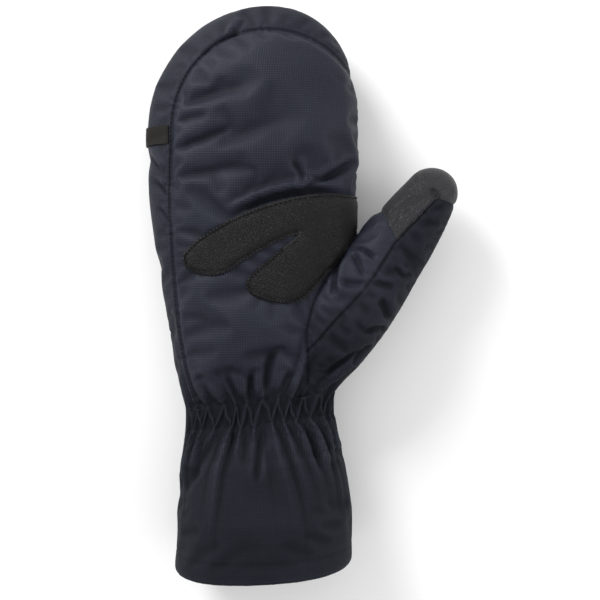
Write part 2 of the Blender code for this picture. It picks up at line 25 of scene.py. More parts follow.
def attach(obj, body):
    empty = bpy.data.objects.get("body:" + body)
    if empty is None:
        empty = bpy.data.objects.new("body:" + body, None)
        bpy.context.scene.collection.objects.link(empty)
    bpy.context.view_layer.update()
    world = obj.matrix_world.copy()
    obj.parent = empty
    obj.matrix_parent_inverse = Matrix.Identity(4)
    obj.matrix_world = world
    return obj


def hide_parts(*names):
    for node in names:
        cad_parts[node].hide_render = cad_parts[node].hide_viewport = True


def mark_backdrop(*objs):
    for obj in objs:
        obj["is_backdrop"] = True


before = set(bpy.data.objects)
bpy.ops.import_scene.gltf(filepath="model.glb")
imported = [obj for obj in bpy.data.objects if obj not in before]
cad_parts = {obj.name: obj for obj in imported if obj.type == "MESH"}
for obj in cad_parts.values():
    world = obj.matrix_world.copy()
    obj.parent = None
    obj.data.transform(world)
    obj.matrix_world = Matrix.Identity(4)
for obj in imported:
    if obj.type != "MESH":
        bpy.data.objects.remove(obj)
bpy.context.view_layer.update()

print("frame nodes:", sorted(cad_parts))

# %% [markdown]
# ## Sizes
#
# All lengths are in metres. The sizes are the pattern maker's: lengths along the hand, widths and depths
# of the sections, and how far the seams lie from the outline. They are named once, so that each later
# step reads them in plain words.

# %% Sizes of the mitten
HAND_LENGTH = 0.217
HAND_WIDTH = 0.1155
HAND_DEPTH = 0.054
TIP_LENGTH = 0.0715
WRIST_WIDTH = 0.081
WRIST_DEPTH = 0.043
WRIST_LIFT = 0.003
WRIST_RISE = 0.0097
CASING_LENGTH = 0.012
CUFF_LENGTH = 0.076
HEM_WIDTH = 0.0965
HEM_DEPTH = 0.066
HEM_RAKE = 0.006
HEM_RISE = 0.0048
THUMB_REACH = 0.1525
THUMB_WIDTH = 0.037
THUMB_DEPTH = 0.034
THUMB_HEIGHT = 0.029
THUMB_ROOT_OUT = 0.0232
THUMB_ROOT_DROP = 0.0029
THUMB_RUN_ON = 0.03
GUSSET_INSET = 0.0138
GUSSET_TIP_INSET = 0.012
TAB_UP = 0.0355
TAB_WIDTH = 0.011
REST_PRESS = 0.0025
TOP_POWER = 2.4
CENTRE_SHARE = 0.46
TIP_LEAN = 0.038

WRIST_Y = -HAND_LENGTH / 2
TIP_START_Y = HAND_LENGTH / 2 - TIP_LENGTH
CASING_END_Y = WRIST_Y - CASING_LENGTH
HEM_Y = CASING_END_Y - CUFF_LENGTH
SIDE_SEAM_Z = 0.45 * HAND_DEPTH
print("hand", HAND_LENGTH, "cuff", CUFF_LENGTH, "thumb", THUMB_REACH)

# %% [markdown]
# ## Tables of the sections
#
# A table has a row for each section. Its first column says where the section lies, as a share of the
# length of the hand, the cuff or the thumb. The other columns are shares too, of the sizes above, apart
# from the thumb's heading, which is in degrees.

# %% Tables
HandRow = namedtuple("HandRow", "along width depth lift lean")
HAND_ROWS = [
    HandRow(0.00, 0.00, 0.00, 1.00, -0.004),
    HandRow(0.10, 0.18, 0.32, 0.70, -0.010),
    HandRow(0.22, 0.36, 0.66, 0.20, -0.012),
    HandRow(0.38, 0.57, 0.90, 0.00, -0.014),
    HandRow(0.56, 0.77, 1.00, 0.00, -0.020),
    HandRow(0.76, 0.92, 1.00, 0.00, -0.030),
    HandRow(1.00, 1.00, 0.96, 0.00, -0.028),
]
CuffRow = namedtuple("CuffRow", "along flare lift lean")
CUFF_ROWS = [
    CuffRow(0.00, 0.04, 1.00, 0.000),
    CuffRow(0.12, 0.24, 0.80, 0.006),
    CuffRow(0.28, 0.50, 0.35, 0.013),
    CuffRow(0.50, 0.74, 0.00, 0.028),
    CuffRow(0.75, 0.96, 0.00, 0.032),
    CuffRow(1.00, 1.01, 0.00, 0.026),
]
ThumbRow = namedtuple("ThumbRow", "along heading width depth height power")
THUMB_ROWS = [
    ThumbRow(0.00, 2.0, 0.92, 0.97, 0.79, 2.4),
    ThumbRow(0.07, 12.0, 0.91, 1.01, 0.81, 2.5),
    ThumbRow(0.16, 31.5, 0.98, 1.12, 0.88, 2.7),
    ThumbRow(0.25, 33.5, 1.15, 1.29, 0.97, 3.0),
    ThumbRow(0.40, 34.5, 1.23, 1.47, 1.00, 3.0),
    ThumbRow(0.50, 36.0, 1.20, 1.38, 1.00, 2.8),
    ThumbRow(0.60, 36.0, 1.11, 1.14, 1.00, 2.5),
    ThumbRow(0.70, 35.0, 1.04, 1.02, 1.00, 2.3),
    ThumbRow(0.82, 34.0, 0.92, 0.96, 1.00, 2.2),
    ThumbRow(0.90, 34.0, 0.80, 0.88, 1.00, 2.1),
]
GussetRow = namedtuple("GussetRow", "along inset")
GUSSET_ROWS = [
    GussetRow(0.00, 0.52),
    GussetRow(0.25, 0.44),
    GussetRow(0.45, 0.56),
    GussetRow(0.70, 0.80),
    GussetRow(1.00, 1.00),
]
SeamRow = namedtuple("SeamRow", "along side")
THUMB_SEAM_ROWS = [
    SeamRow(-0.06, -0.62),
    SeamRow(0.10, -0.35),
    SeamRow(0.21, -0.17),
    SeamRow(0.34, -0.10),
    SeamRow(0.50, -0.02),
    SeamRow(0.68, -0.04),
    SeamRow(0.82, 0.04),
    SeamRow(0.90, 0.09),
]
CAP_INNER_SHARES = (0.750, 0.685)
CAP_OUTER_SHARES = (0.890, 0.920)
print("rows of the hand, cuff and thumb:", len(HAND_ROWS), len(CUFF_ROWS), len(THUMB_ROWS))

# %% [markdown]
# ## Smooth tables
#
# A pattern gives a width at a few places and trusts the cutter to draw a fair curve between them. The
# function below does the same: it runs a cubic through a column of a table and picks the slopes so that
# the curve never swings past its points. It works on whole arrays, because the skin has many points.

# %% Curves through tables
def curve_through(rows, column):
    """Smooth curve through one column of a table, read by the table's first column."""
    xs = np.array([row[0] for row in rows], float)
    ys = np.array([getattr(row, column) for row in rows], float)
    steps = np.diff(ys) / np.diff(xs)
    before = np.concatenate([steps[:1], steps])
    after = np.concatenate([steps, steps[-1:]])
    level = before * after <= 0
    slopes = np.where(level, 0.0, 2 * before * after / np.where(level, 1.0, before + after))

    def read(at):
        at = np.clip(at, xs[0], xs[-1])
        i = np.clip(np.searchsorted(xs, at) - 1, 0, len(xs) - 2)
        span = xs[i + 1] - xs[i]
        u = (at - xs[i]) / span
        start = (1 + 2 * u) * (1 - u) ** 2 * ys[i] + u * (1 - u) ** 2 * span * slopes[i]
        end = u * u * (3 - 2 * u) * ys[i + 1] + u * u * (u - 1) * span * slopes[i + 1]
        return start + end

    return read


HAND = {name: curve_through(HAND_ROWS, name) for name in HandRow._fields[1:]}
CUFF = {name: curve_through(CUFF_ROWS, name) for name in CuffRow._fields[1:]}
THUMB = {name: curve_through(THUMB_ROWS, name) for name in ThumbRow._fields[1:]}
gusset_inset = curve_through(GUSSET_ROWS, "inset")
thumb_seam_side = curve_through(THUMB_SEAM_ROWS, "side")


def mix(a, b, share):
    return a + (b - a) * share


def bump(value, centre, spread):
    return np.exp(-(((value - centre) / spread) ** 2))


def smooth_step(value, low, high):
    u = np.clip((value - low) / (high - low), 0, 1)
    return u * u * (3 - 2 * u)


half_way = mix(WRIST_WIDTH, HAND_WIDTH, HAND["width"](0.5))
print("half way up the hand the width is", round(float(half_way), 4))

# %% [markdown]
# ## The hand, the wrist and the cuff as one row of sections
#
# The hand and the cuff are one long tube. Each section across it is a rounded box (a superellipse) that
# is pressed flat where it rests on the table. The powers in `hand_section` draw the fingertips: they say
# how soon the width and the depth close.

# %% Body sections
Section = namedtuple("Section", "x z half_width rise drop")
TIP_LEAN_POWER = 1.7
TIP_WIDTH_POWER = 2.2
TIP_DEPTH_POWER = 2.6
TIP_DEPTH_ROUNDING = 0.62


def hand_section(y, grow):
    """Sections of the hand at y, moved out by grow."""
    along = (np.minimum(y, TIP_START_Y) - WRIST_Y) / (TIP_START_Y - WRIST_Y)
    width = mix(WRIST_WIDTH, HAND_WIDTH, HAND["width"](along))
    depth = mix(WRIST_DEPTH, HAND_DEPTH, HAND["depth"](along))
    low = mix(-REST_PRESS, WRIST_LIFT, HAND["lift"](along))
    z = mix(low, depth, CENTRE_SHARE)
    share = np.clip((y - TIP_START_Y) / (TIP_LENGTH + grow), 0, 1)
    x = mix(HAND["lean"](along) * HAND_WIDTH, TIP_LEAN * HAND_WIDTH, share**TIP_LEAN_POWER)
    half_width = (width / 2 + grow) * np.sqrt(1 - share**TIP_WIDTH_POWER)
    close = (1 - share**TIP_DEPTH_POWER) ** TIP_DEPTH_ROUNDING
    return Section(x, z, half_width, (depth - z + grow) * close, (z - low + grow) * close)


def cuff_section(y, grow):
    """Sections of the wrist casing and the cuff at y, moved out by grow."""
    along = np.maximum(CASING_END_Y - y, 0.0) / CUFF_LENGTH
    flare = CUFF["flare"](along) * np.clip((WRIST_Y - y) / CASING_LENGTH, 0, 1)
    width = mix(WRIST_WIDTH, HEM_WIDTH, flare)
    depth = mix(WRIST_DEPTH, HEM_DEPTH, flare)
    low = mix(-REST_PRESS, WRIST_LIFT, CUFF["lift"](along))
    z = mix(low, depth, CENTRE_SHARE)
    x = HAND_ROWS[0].lean * HAND_WIDTH + CUFF["lean"](along) * HEM_WIDTH
    return Section(x, z, width / 2 + grow, depth - z + grow, z - low + grow)


def section_at(y, grow=0.0):
    hand, cuff = hand_section(y, grow), cuff_section(y, grow)
    return Section(*(np.where(y > WRIST_Y, a, b) for a, b in zip(hand, cuff)))


print("half width at the wrist:", round(float(section_at(np.array(WRIST_Y)).half_width), 4))

# %% [markdown]
# ## From a place on the body to a point, and back
#
# `body_surface` gives the point at a place along the tube and an angle round it. `body_place` does the
# reverse, and it also says how far outside the tube a point is, which is what later tells the palm from
# the thumb. The wrist and the hem slant a little, so a section isn't quite square to the hand.

# %% Body surface and its reverse
def wrist_shear(y):
    """How far a section's Y moves for each metre of X, because the wrist and the hem slant."""
    below = np.clip((CASING_END_Y - y) / CUFF_LENGTH, 0, 1)
    near = bump(y, (WRIST_Y + CASING_END_Y) / 2, 0.2 * HAND_LENGTH)
    return np.maximum(WRIST_RISE / WRIST_WIDTH * near, HEM_RISE / HEM_WIDTH * below)


def hem_rake(y, z):
    return HEM_RAKE * (2 * z / HEM_DEPTH - 1) * np.maximum(CASING_END_Y - y, 0.0) / CUFF_LENGTH


def signed_power(value, power):
    return np.copysign(np.abs(value) ** power, value)


def body_surface(y, angle, grow=0.0):
    """Points on the body at y and an angle. Angle 0 faces the thumb side and 90 degrees faces up."""
    section = section_at(y, grow)
    side = signed_power(np.cos(angle), 2 / TOP_POWER)
    high = signed_power(np.sin(angle), 2 / TOP_POWER)
    x = section.x + section.half_width * side
    z = section.z + np.where(high > 0, section.rise, section.drop) * high
    z = np.maximum(z, max(-grow, 0.0))
    return np.stack([x, y + wrist_shear(y) * x - hem_rake(y, z), z], axis=-1)


def body_place(points):
    """Station and angle of points near the body, and how far outside the body they are."""
    x, y, z = points.T
    station = y.copy()
    for _ in range(10):
        station = y - wrist_shear(station) * x + hem_rake(station, z)
    section = section_at(station)
    across = (x - section.x) / np.maximum(section.half_width, 1e-4)
    up = z - section.z
    up = up / np.maximum(np.where(up > 0, section.rise, section.drop), 1e-4)
    angle = np.arctan2(signed_power(up, TOP_POWER / 2), signed_power(across, TOP_POWER / 2))
    size = (np.abs(across) ** TOP_POWER + np.abs(up) ** TOP_POWER) ** (1 / TOP_POWER)
    outside = (size - 1) * (section.half_width + section.rise) / 2
    return station, angle, outside


test = body_place(body_surface(np.array([0.0, 0.03]), np.array([1.0, 2.0])))
print("a point of the palm is found again at", np.round(test[0], 4), np.round(test[1], 3))

# %% [markdown]
# ## The thumb
#
# The thumb runs on its own bent centre line, which starts inside the wrist and turns outwards. Its
# sections stand across that line. It has the same pair of functions as the body.

# %% Thumb sections
def thumb_centre_line(places):
    """Points and headings of the thumb's centre line at shares of its reach."""
    steps = 40
    x = np.full(len(places), THUMB_ROOT_OUT)
    y = np.full(len(places), WRIST_Y - THUMB_ROOT_DROP)
    for k in range(steps):
        heading = np.radians(THUMB["heading"](places * (k + 0.5) / steps))
        x = x + THUMB_REACH * places / steps * np.sin(heading)
        y = y + THUMB_REACH * places / steps * np.cos(heading)
    return x, y, np.radians(THUMB["heading"](places))


def thumb_section(along, grow=0.0):
    """Half width, half depth, height and power of the thumb's sections."""
    last = THUMB_ROWS[-1].along
    end = np.clip((along - last) / (1 - last), 0, 1)
    close = np.sqrt(1 - end**2)
    half_width = (THUMB["width"](along) * THUMB_WIDTH / 2 + grow) * close
    half_depth = (THUMB["depth"](along) * THUMB_DEPTH / 2 + grow) * close
    return half_width, half_depth, THUMB["height"](along) * THUMB_HEIGHT, THUMB["power"](along)


def thumb_surface(along, angle):
    x, y, heading = thumb_centre_line(along)
    half_width, half_depth, height, power = thumb_section(along)
    side = half_width * signed_power(np.cos(angle), 2 / power)
    z = height + half_depth * signed_power(np.sin(angle), 2 / power)
    return np.stack([x + side * np.cos(heading), y - side * np.sin(heading), np.maximum(z, 0)], axis=-1)


LINE_SHARES = np.linspace(-0.25, 1.10, 271)
LINE_X, LINE_Y, LINE_HEADING = thumb_centre_line(LINE_SHARES)


def thumb_place(points):
    """Share along the thumb, offset beside its line, angle, and how far outside it points are."""
    nearest = np.empty(len(points), int)
    for first in range(0, len(points), 20000):
        part = points[first : first + 20000]
        away = (part[:, :1] - LINE_X) ** 2 + (part[:, 1:2] - LINE_Y) ** 2
        nearest[first : first + 20000] = away.argmin(axis=1)
    heading = LINE_HEADING[nearest]
    dx, dy = points[:, 0] - LINE_X[nearest], points[:, 1] - LINE_Y[nearest]
    along = LINE_SHARES[nearest] + (dx * np.sin(heading) + dy * np.cos(heading)) / THUMB_REACH
    side = dx * np.cos(heading) - dy * np.sin(heading)
    half_width, half_depth, height, power = thumb_section(along)
    across = side / np.maximum(half_width, 1e-4)
    up = (points[:, 2] - height) / np.maximum(half_depth, 1e-4)
    size = (np.abs(across) ** power + np.abs(up) ** power) ** (1 / power)
    radius = (half_width + half_depth) / 2
    round_end = np.hypot(side, points[:, 2] - height) - radius
    outside = np.where(along > THUMB_ROWS[-1].along, round_end, (size - 1) * radius)
    return along, side, np.arctan2(up, across), outside + np.maximum(along - 1, 0) * THUMB_REACH


def beside_thumb(along, side):
    """Plan points beside the thumb's centre line. side: share of the thumb's width."""
    along, side = np.atleast_1d(along).astype(float), np.atleast_1d(side) * THUMB_WIDTH
    x, y, heading = thumb_centre_line(along)
    return np.stack([x + side * np.cos(heading), y - side * np.sin(heading)], axis=-1)


print("the thumb ends at", np.round(beside_thumb(1.0, 0.0)[0], 4))

# %% [markdown]
# ## Seams and outlines, seen from above
#
# Every seam of the real mitten is kept as a line in plan. From a line come two numbers for any point:
# the distance to it, with a sign for the side, and how far along it the nearest place is. The first is
# used to cut the skin and to press a seam in. The second is used to space the puckers.

# %% Plan lines
def smooth_curve(points, per_span=4):
    """Points on a smooth curve through the given ones, ends kept."""
    p = np.array(points, float)
    p = np.vstack([2 * p[0] - p[1], p, 2 * p[-1] - p[-2]])
    found = []
    for k in range(1, len(p) - 2):
        a, b, c, d = p[k - 1], p[k], p[k + 1], p[k + 2]
        for u in np.arange(per_span) / per_span:
            found.append(
                0.5 * (2 * b + (c - a) * u + (2 * a - 5 * b + 4 * c - d) * u**2)
                + 0.5 * (3 * b - a - 3 * c + d) * u**3
            )
    found.append(p[-2])
    return np.array(found)


def line_place(points, line):
    """Distance from a plan line, plus to its left, and the length along it to the nearest place."""
    start, run = line[:-1], np.diff(line, axis=0)
    length = np.linalg.norm(run, axis=1)
    before = np.concatenate([[0], np.cumsum(length)[:-1]])
    distance, along = np.empty(len(points)), np.empty(len(points))
    for first in range(0, len(points), 20000):
        part = points[first : first + 20000, None, :2] - start[None]
        share = np.clip((part * run).sum(axis=2) / length**2, 0, 1)
        away = part - share[..., None] * run
        squared = (away**2).sum(axis=2)
        k = squared.argmin(axis=1)
        row = np.arange(len(k))
        cross = run[k, 0] * part[row, k, 1] - run[k, 1] * part[row, k, 0]
        distance[first : first + 20000] = np.sqrt(squared[row, k]) * np.where(cross < 0, -1, 1)
        along[first : first + 20000] = before[k] + share[row, k] * length[k]
    return distance, along


def within(points, outline):
    """Which points are inside a closed plan outline."""
    inside = np.zeros(len(points), bool)
    x, y = points[:, 0], points[:, 1]
    for (ax, ay), (bx, by) in zip(outline, np.roll(outline, -1, axis=0)):
        if ay == by:
            continue
        crossing = (ay > y) != (by > y)
        inside ^= crossing & (x < ax + (y - ay) / (by - ay) * (bx - ax))
    return inside


print("helpers: smooth_curve, line_place, within")

# %% [markdown]
# ## The seams of the hand and the thumb
#
# The gusset's seam follows the outline of the palm at a small distance. The thumb's seam and the edge of
# its cap are laid out beside the thumb's own centre line, so they bend with it.

# %% Seam lines
SEAM_LOWER = 0.0034


def gusset_seam():
    """Plan line of the gusset's seam: up the little finger side, over the fingertips and out."""
    line = []
    for along in np.linspace(-0.15, 1.0, 40):
        y = mix(WRIST_Y, TIP_START_Y, along)
        section = hand_section(np.array(max(y, WRIST_Y)), 0.0)
        x = section.x - section.half_width + gusset_inset(along) * GUSSET_INSET
        line.append((float(x), float(y + wrist_shear(y) * x)))
    left_x = line[-1][0]
    centre = TIP_LEAN * HAND_WIDTH
    right_x = centre + HAND_WIDTH / 2 - 0.1 * GUSSET_TIP_INSET
    top = TIP_LENGTH - GUSSET_TIP_INSET - SEAM_LOWER
    for turn in np.linspace(0, math.pi, 61)[1:]:
        side = (centre - left_x) if turn < math.pi / 2 else (right_x - centre)
        line.append((centre - side * math.cos(turn), TIP_START_Y + top * math.sin(turn)))
    return np.array(line)


def thumb_seam():
    """Plan line of the seam between the thumb's two panels."""
    rows = np.array(THUMB_SEAM_ROWS)
    return smooth_curve(beside_thumb(rows[:, 0], rows[:, 1]), 8)


def cap_seam():
    """Plan line of the thumb cap's edge: across the inner panel, up the seam, across the outer one."""
    far_inner, near_inner = CAP_INNER_SHARES
    near_outer, far_outer = CAP_OUTER_SHARES
    climb = np.linspace(near_inner, near_outer, 9)
    shares = [far_inner + 0.02, far_inner, *climb, far_outer, far_outer]
    sides = [-0.85, -0.52, *thumb_seam_side(climb), 0.48, 0.85]
    return beside_thumb(shares, sides)


GUSSET_LINE = gusset_seam()
THUMB_LINE = thumb_seam()
CAP_LINE = cap_seam()
print("gusset seam", len(GUSSET_LINE), "points, thumb seam", len(THUMB_LINE), "points")

# %% [markdown]
# ## Helpers for meshes
#
# Blender keeps a mesh as lists of points, edges and faces. Reading and writing them one at a time is
# slow, so these helpers move them to and from numpy arrays in one go. `smoothed` draws any values on the
# points towards their neighbours' mean, and `loft` joins rings of points into a closed form.

# %% Helpers for meshes
def mesh_object(name, points, faces):
    mesh = bpy.data.meshes.new(name)
    mesh.from_pydata(np.asarray(points).tolist(), [], faces)
    mesh.update()
    made = bpy.data.objects.new(name, mesh)
    bpy.context.scene.collection.objects.link(made)
    return made


def points_of(mesh):
    flat = np.empty(len(mesh.vertices) * 3, np.float32)
    mesh.vertices.foreach_get("co", flat)
    return flat.reshape(-1, 3).astype(float)


def edges_of(mesh):
    flat = np.empty(len(mesh.edges) * 2, np.int32)
    mesh.edges.foreach_get("vertices", flat)
    return flat.reshape(-1, 2)


def evaluated_mesh(obj):
    graph = bpy.context.evaluated_depsgraph_get()
    return bpy.data.meshes.new_from_object(obj.evaluated_get(graph))


def smoothed(values, edges, rounds, share=0.5):
    """Values on a mesh's points, drawn towards the mean of their neighbours."""
    a, b = edges.T
    count = np.bincount(edges.ravel(), minlength=len(values))
    values = values.copy()
    columns = values.reshape(len(values), -1)
    for _ in range(rounds):
        for k in range(columns.shape[1]):
            total = np.bincount(a, columns[b, k], len(values))
            total += np.bincount(b, columns[a, k], len(values))
            columns[:, k] += share * (total / np.maximum(count, 1) - columns[:, k])
    return values


def loft(rings):
    """Points and squares of a closed form through rings of points, with a flat start and a pole."""
    rows, columns = rings.shape[:2]
    points = rings.reshape(-1, 3)
    faces = []
    for r in range(rows - 1):
        for c in range(columns):
            n = (c + 1) % columns
            faces.append((r * columns + c, r * columns + n, (r + 1) * columns + n, (r + 1) * columns + c))
    pole = points.shape[0]
    last = (rows - 1) * columns
    points = np.vstack([points, rings[-1].mean(axis=0)])
    faces += [(last + c, last + (c + 1) % columns, pole) for c in range(columns)]
    faces.append(tuple(reversed(range(columns))))
    return points, faces


print("helpers: mesh_object, points_of, edges_of, evaluated_mesh, smoothed, loft")

# %% [markdown]
# ## The skin before it is filled
#
# The body and the thumb are two closed forms that pass through each other. A voxel remesh melts them
# into one skin of even squares, which is what a cloth simulation likes. Smoothing afterwards takes out
# the steps that voxels leave.

# %% Body and thumb melted into one skin
SKIN_GRAIN = 0.00165
HEM_SPARE = 0.004

ring_angles = np.linspace(0, 2 * math.pi, 180, endpoint=False)
straight = np.linspace(HEM_Y - HEM_SPARE, TIP_START_Y, 150)
rounding = TIP_START_Y + TIP_LENGTH * np.sin(np.linspace(0, math.pi / 2, 40))[1:-1]
body_stations = np.concatenate([straight, rounding])
body_rings = np.array([body_surface(np.full(180, y), ring_angles) for y in body_stations])
thumb_end = 0.9 + 0.1 * np.sin(np.linspace(0, 1.55, 16))[1:]
thumb_shares = np.concatenate([np.linspace(-THUMB_RUN_ON, 0.9, 90), thumb_end])
thumb_rings = np.array([thumb_surface(np.full(180, s), ring_angles) for s in thumb_shares])

body_points, body_faces = loft(body_rings)
thumb_points, thumb_faces = loft(thumb_rings)
shift = len(body_points)
all_faces = body_faces + [tuple(i + shift for i in face) for face in thumb_faces]
blank = mesh_object("blank", np.vstack([body_points, thumb_points]), all_faces)
remesh = blank.modifiers.new("melt", "REMESH")
remesh.mode = "VOXEL"
remesh.voxel_size = SKIN_GRAIN
skin_mesh = evaluated_mesh(blank)
bpy.data.objects.remove(blank)
skin_edges = edges_of(skin_mesh)
rest = smoothed(points_of(skin_mesh), skin_edges, 6)
print("skin:", len(rest), "points")

# %% [markdown]
# ## Where every point of the skin lies
#
# Each point gets its place on the body and on the thumb, and its distance to each seam. These numbers
# are taken from the skin before it is filled, so they don't move when the cloth does.

# %% Seam distances for any set of points
BODY_NUMBERS = "station angle turn thumb_share thumb_angle on_thumb"
SEAM_NUMBERS = "gusset gusset_run inner_outer seam_run cap side"
Lay = namedtuple("Lay", f"{BODY_NUMBERS} {SEAM_NUMBERS}")
RIGHT_OF_GUSSET = [[HAND_WIDTH, GUSSET_LINE[-1, 1]], [HAND_WIDTH, GUSSET_LINE[0, 1]]]


def lay_out(points):
    """Places and seam distances of the skin's points."""
    station, angle, off_body = body_place(points)
    thumb_share, _, thumb_angle, off_thumb = thumb_place(points)
    on_thumb = off_body - off_thumb
    turn = ((math.pi - angle) / (2 * math.pi)) % 1.0
    gusset, gusset_run = line_place(points, GUSSET_LINE)
    inside = within(points, np.vstack([GUSSET_LINE, RIGHT_OF_GUSSET]))
    gusset = np.abs(gusset) * np.where(inside, 1, -1)
    inner_outer, seam_run = line_place(points, THUMB_LINE)
    cap, _ = line_place(points, CAP_LINE)
    side = points[:, 2] - SIDE_SEAM_Z
    body = (station, angle, turn, thumb_share, thumb_angle, on_thumb)
    return Lay(*body, gusset, gusset_run, -inner_outer, seam_run, cap, side)


def seam_distance(lay):
    """Distance to the nearest seam of the hand or the thumb."""
    hand = np.minimum(np.abs(lay.gusset), np.where(lay.gusset > 0, np.abs(lay.side), 1.0))
    thumb = np.minimum(np.abs(lay.inner_outer), np.abs(lay.cap))
    nearest = np.where(lay.on_thumb > 0, thumb, hand)
    nearest = np.minimum(nearest, np.abs(lay.on_thumb))
    return np.where(lay.station > WRIST_Y, nearest, 1.0)


rest_lay = lay_out(rest)
print("points on the thumb:", int((rest_lay.on_thumb > 0).sum()))

# %% [markdown]
# ## The palm patch's outline
#
# The patch is a leather piece with two prongs. Its outline is three smooth runs that meet in corners:
# the upper edge, the long prong and the short prong.

# %% Patch outline
PatchPoint = namedtuple("PatchPoint", "x y")
PATCH_UPPER_EDGE = [
    PatchPoint(0.560, 0.010),
    PatchPoint(0.330, 0.018),
    PatchPoint(0.120, 0.001),
    PatchPoint(-0.080, -0.036),
    PatchPoint(-0.260, -0.088),
    PatchPoint(-0.355, -0.134),
]
PATCH_LONG_PRONG = [
    PatchPoint(-0.345, -0.168),
    PatchPoint(-0.270, -0.184),
    PatchPoint(-0.170, -0.184),
    PatchPoint(-0.040, -0.140),
    PatchPoint(0.110, -0.096),
    PatchPoint(0.190, -0.082),
]
PATCH_SHORT_PRONG = [
    PatchPoint(0.110, -0.118),
    PatchPoint(-0.030, -0.180),
    PatchPoint(-0.060, -0.212),
    PatchPoint(-0.020, -0.238),
    PatchPoint(0.090, -0.254),
    PatchPoint(0.190, -0.249),
    PatchPoint(0.275, -0.207),
    PatchPoint(0.350, -0.168),
    PatchPoint(0.560, -0.120),
]
HAND_SCALE = np.array([HAND_WIDTH, HAND_LENGTH])
PATCH_RUNS = (PATCH_UPPER_EDGE, PATCH_LONG_PRONG, PATCH_SHORT_PRONG)
patch_runs = [smooth_curve(np.array(run) * HAND_SCALE, 8) for run in PATCH_RUNS]
PATCH_OUTLINE = np.vstack(patch_runs)


def patch_depth(points):
    """How far inside the patch's outline points of the palm are, below 0 outside it."""
    away, _ = line_place(points, np.vstack([PATCH_OUTLINE, PATCH_OUTLINE[:1]]))
    return np.abs(away) * np.where(within(points, PATCH_OUTLINE), 1, -1)


print("patch outline:", len(PATCH_OUTLINE), "points")

# %% [markdown]
# ## The creases that the mitten has from being worn
#
# Some folds are not chance: one lies above the patch, where the stiff leather stops and the soft palm
# bulges over it, and others run into the wrist and round the root of the thumb. Each is a line in plan,
# in millimetres, with a depth, a width and a lip. The lip says how much the cloth beside the crease
# rises, and its sign says on which side. The creases are pressed into the skin before it is filled, so
# that the simulation drapes the rest of the cloth around them.

# %% Creases
Crease = namedtuple("Crease", "depth width lip line")
PATCH_CREASE = [(-19.5, -11.2), (-10, -5.8), (1.2, -0.9), (10.8, 2.1), (22, 4.3), (31.1, 5), (52, 2.4)]
PALM_CREASES = [
    Crease(3.2, 1.7, 0.75, PATCH_CREASE),
    Crease(1.3, 1.6, 0.6, [(17.0, 22.0), (20.5, 16.8), (24.7, 10.0)]),
    Crease(1.6, 2.0, -0.7, [(52.0, 23.0), (40.6, 14.8), (31.1, 9.6), (20.0, 7.0)]),
    Crease(1.2, 4.0, 0.5, [(-25.0, 27.5), (-12.6, 34.0), (1.8, 39.3), (18.0, 44.0)]),
    Crease(1.2, 3.2, 0.5, [(-43.0, 50.0), (-28.6, 55.3), (-16.4, 58.5), (-3.0, 61.2)]),
    Crease(1.3, 2.2, 0.6, [(-46.0, 25.5), (-36.6, 29.7), (-24.9, 34.0), (-11.0, 40.5)]),
    Crease(0.9, 1.8, 0.6, [(-45.0, 41.0), (-35.5, 43.6), (-25.0, 45.2)]),
    Crease(1.3, 2.6, -0.6, [(-43.5, 12.0), (-28.6, 14.3), (-12.6, 16.9), (1.8, 14.8)]),
    Crease(2.4, 2.4, 0.4, [(12.0, -78.0), (7.1, -83.2), (4.9, -90.7), (2.6, -108.0)]),
    Crease(1.5, 1.6, 0.4, [(-18.4, -93.0), (-14.8, -101.4), (-12.1, -109.5)]),
    Crease(1.6, 1.7, 0.4, [(-4.4, -91.0), (-5.2, -101.4), (-5.7, -110.0)]),
    Crease(1.6, 1.7, 0.4, [(17.5, -89.5), (12.9, -98.2), (9.0, -109.0)]),
]
THUMB_CREASES = [
    Crease(2.2, 1.5, 0.6, [(48.6, -23.2), (42.4, -33.0), (40.2, -42.7), (39.7, -53.0)]),
    Crease(1.4, 1.2, 0.6, [(30.0, -52.0), (32.7, -45.9), (38.1, -38.9)]),
    Crease(1.6, 1.3, -0.6, [(48.0, -25.0), (55.7, -26.6), (63.0, -31.8)]),
    Crease(1.3, 1.4, 0.5, [(49.5, -26.0), (53.1, -34.1), (57.0, -43.0)]),
    Crease(1.4, 1.7, -0.6, [(41.5, -43.0), (50.4, -44.8), (59.5, -44.0)]),
    Crease(0.8, 1.2, 0.7, [(72.0, -36.0), (75.6, -39.6), (78.5, -42.0)]),
    Crease(1.1, 1.6, 0.5, [(59.0, -42.8), (66.0, -45.4), (72.5, -47.2)]),
    Crease(1.3, 2.0, 0.5, [(64.0, -52.0), (67.0, -57.7), (69.6, -64.5)]),
    Crease(1.3, 1.8, 0.5, [(55.0, -71.8), (62.7, -68.9), (71.0, -69.5)]),
    Crease(1.4, 1.3, 0.6, [(54.5, -79.5), (44.5, -86.6), (34.5, -95.0)]),
    Crease(1.2, 1.2, 0.6, [(62.0, -76.0), (55.2, -81.3), (48.0, -88.5)]),
    Crease(1.6, 1.2, 0.5, [(92.5, 7.8), (94.8, 3.4), (95.6, 1.0)]),
]
SIDE_CREASES = [
    Crease(1.3, 1.3, 0.6, [(-62.5, 29.5), (-58.2, 22.6), (-53.0, 15.0)]),
    Crease(1.3, 1.3, 0.6, [(-57.5, 12.0), (-52.3, 6.2), (-48.5, 0.0)]),
    Crease(1.1, 1.2, 0.6, [(-55.0, -2.0), (-50.7, -8.6), (-48.0, -14.0)]),
    Crease(1.0, 1.4, 0.6, [(-33.0, 77.5), (-24.9, 81.9), (-16.4, 90.4)]),
    Crease(1.2, 1.5, 0.6, [(-24.0, 74.5), (-19.6, 83.0), (-10.0, 94.7)]),
    Crease(1.0, 1.3, 0.6, [(-14.2, 87.2), (-12.1, 92.5), (-7.8, 100.0)]),
]
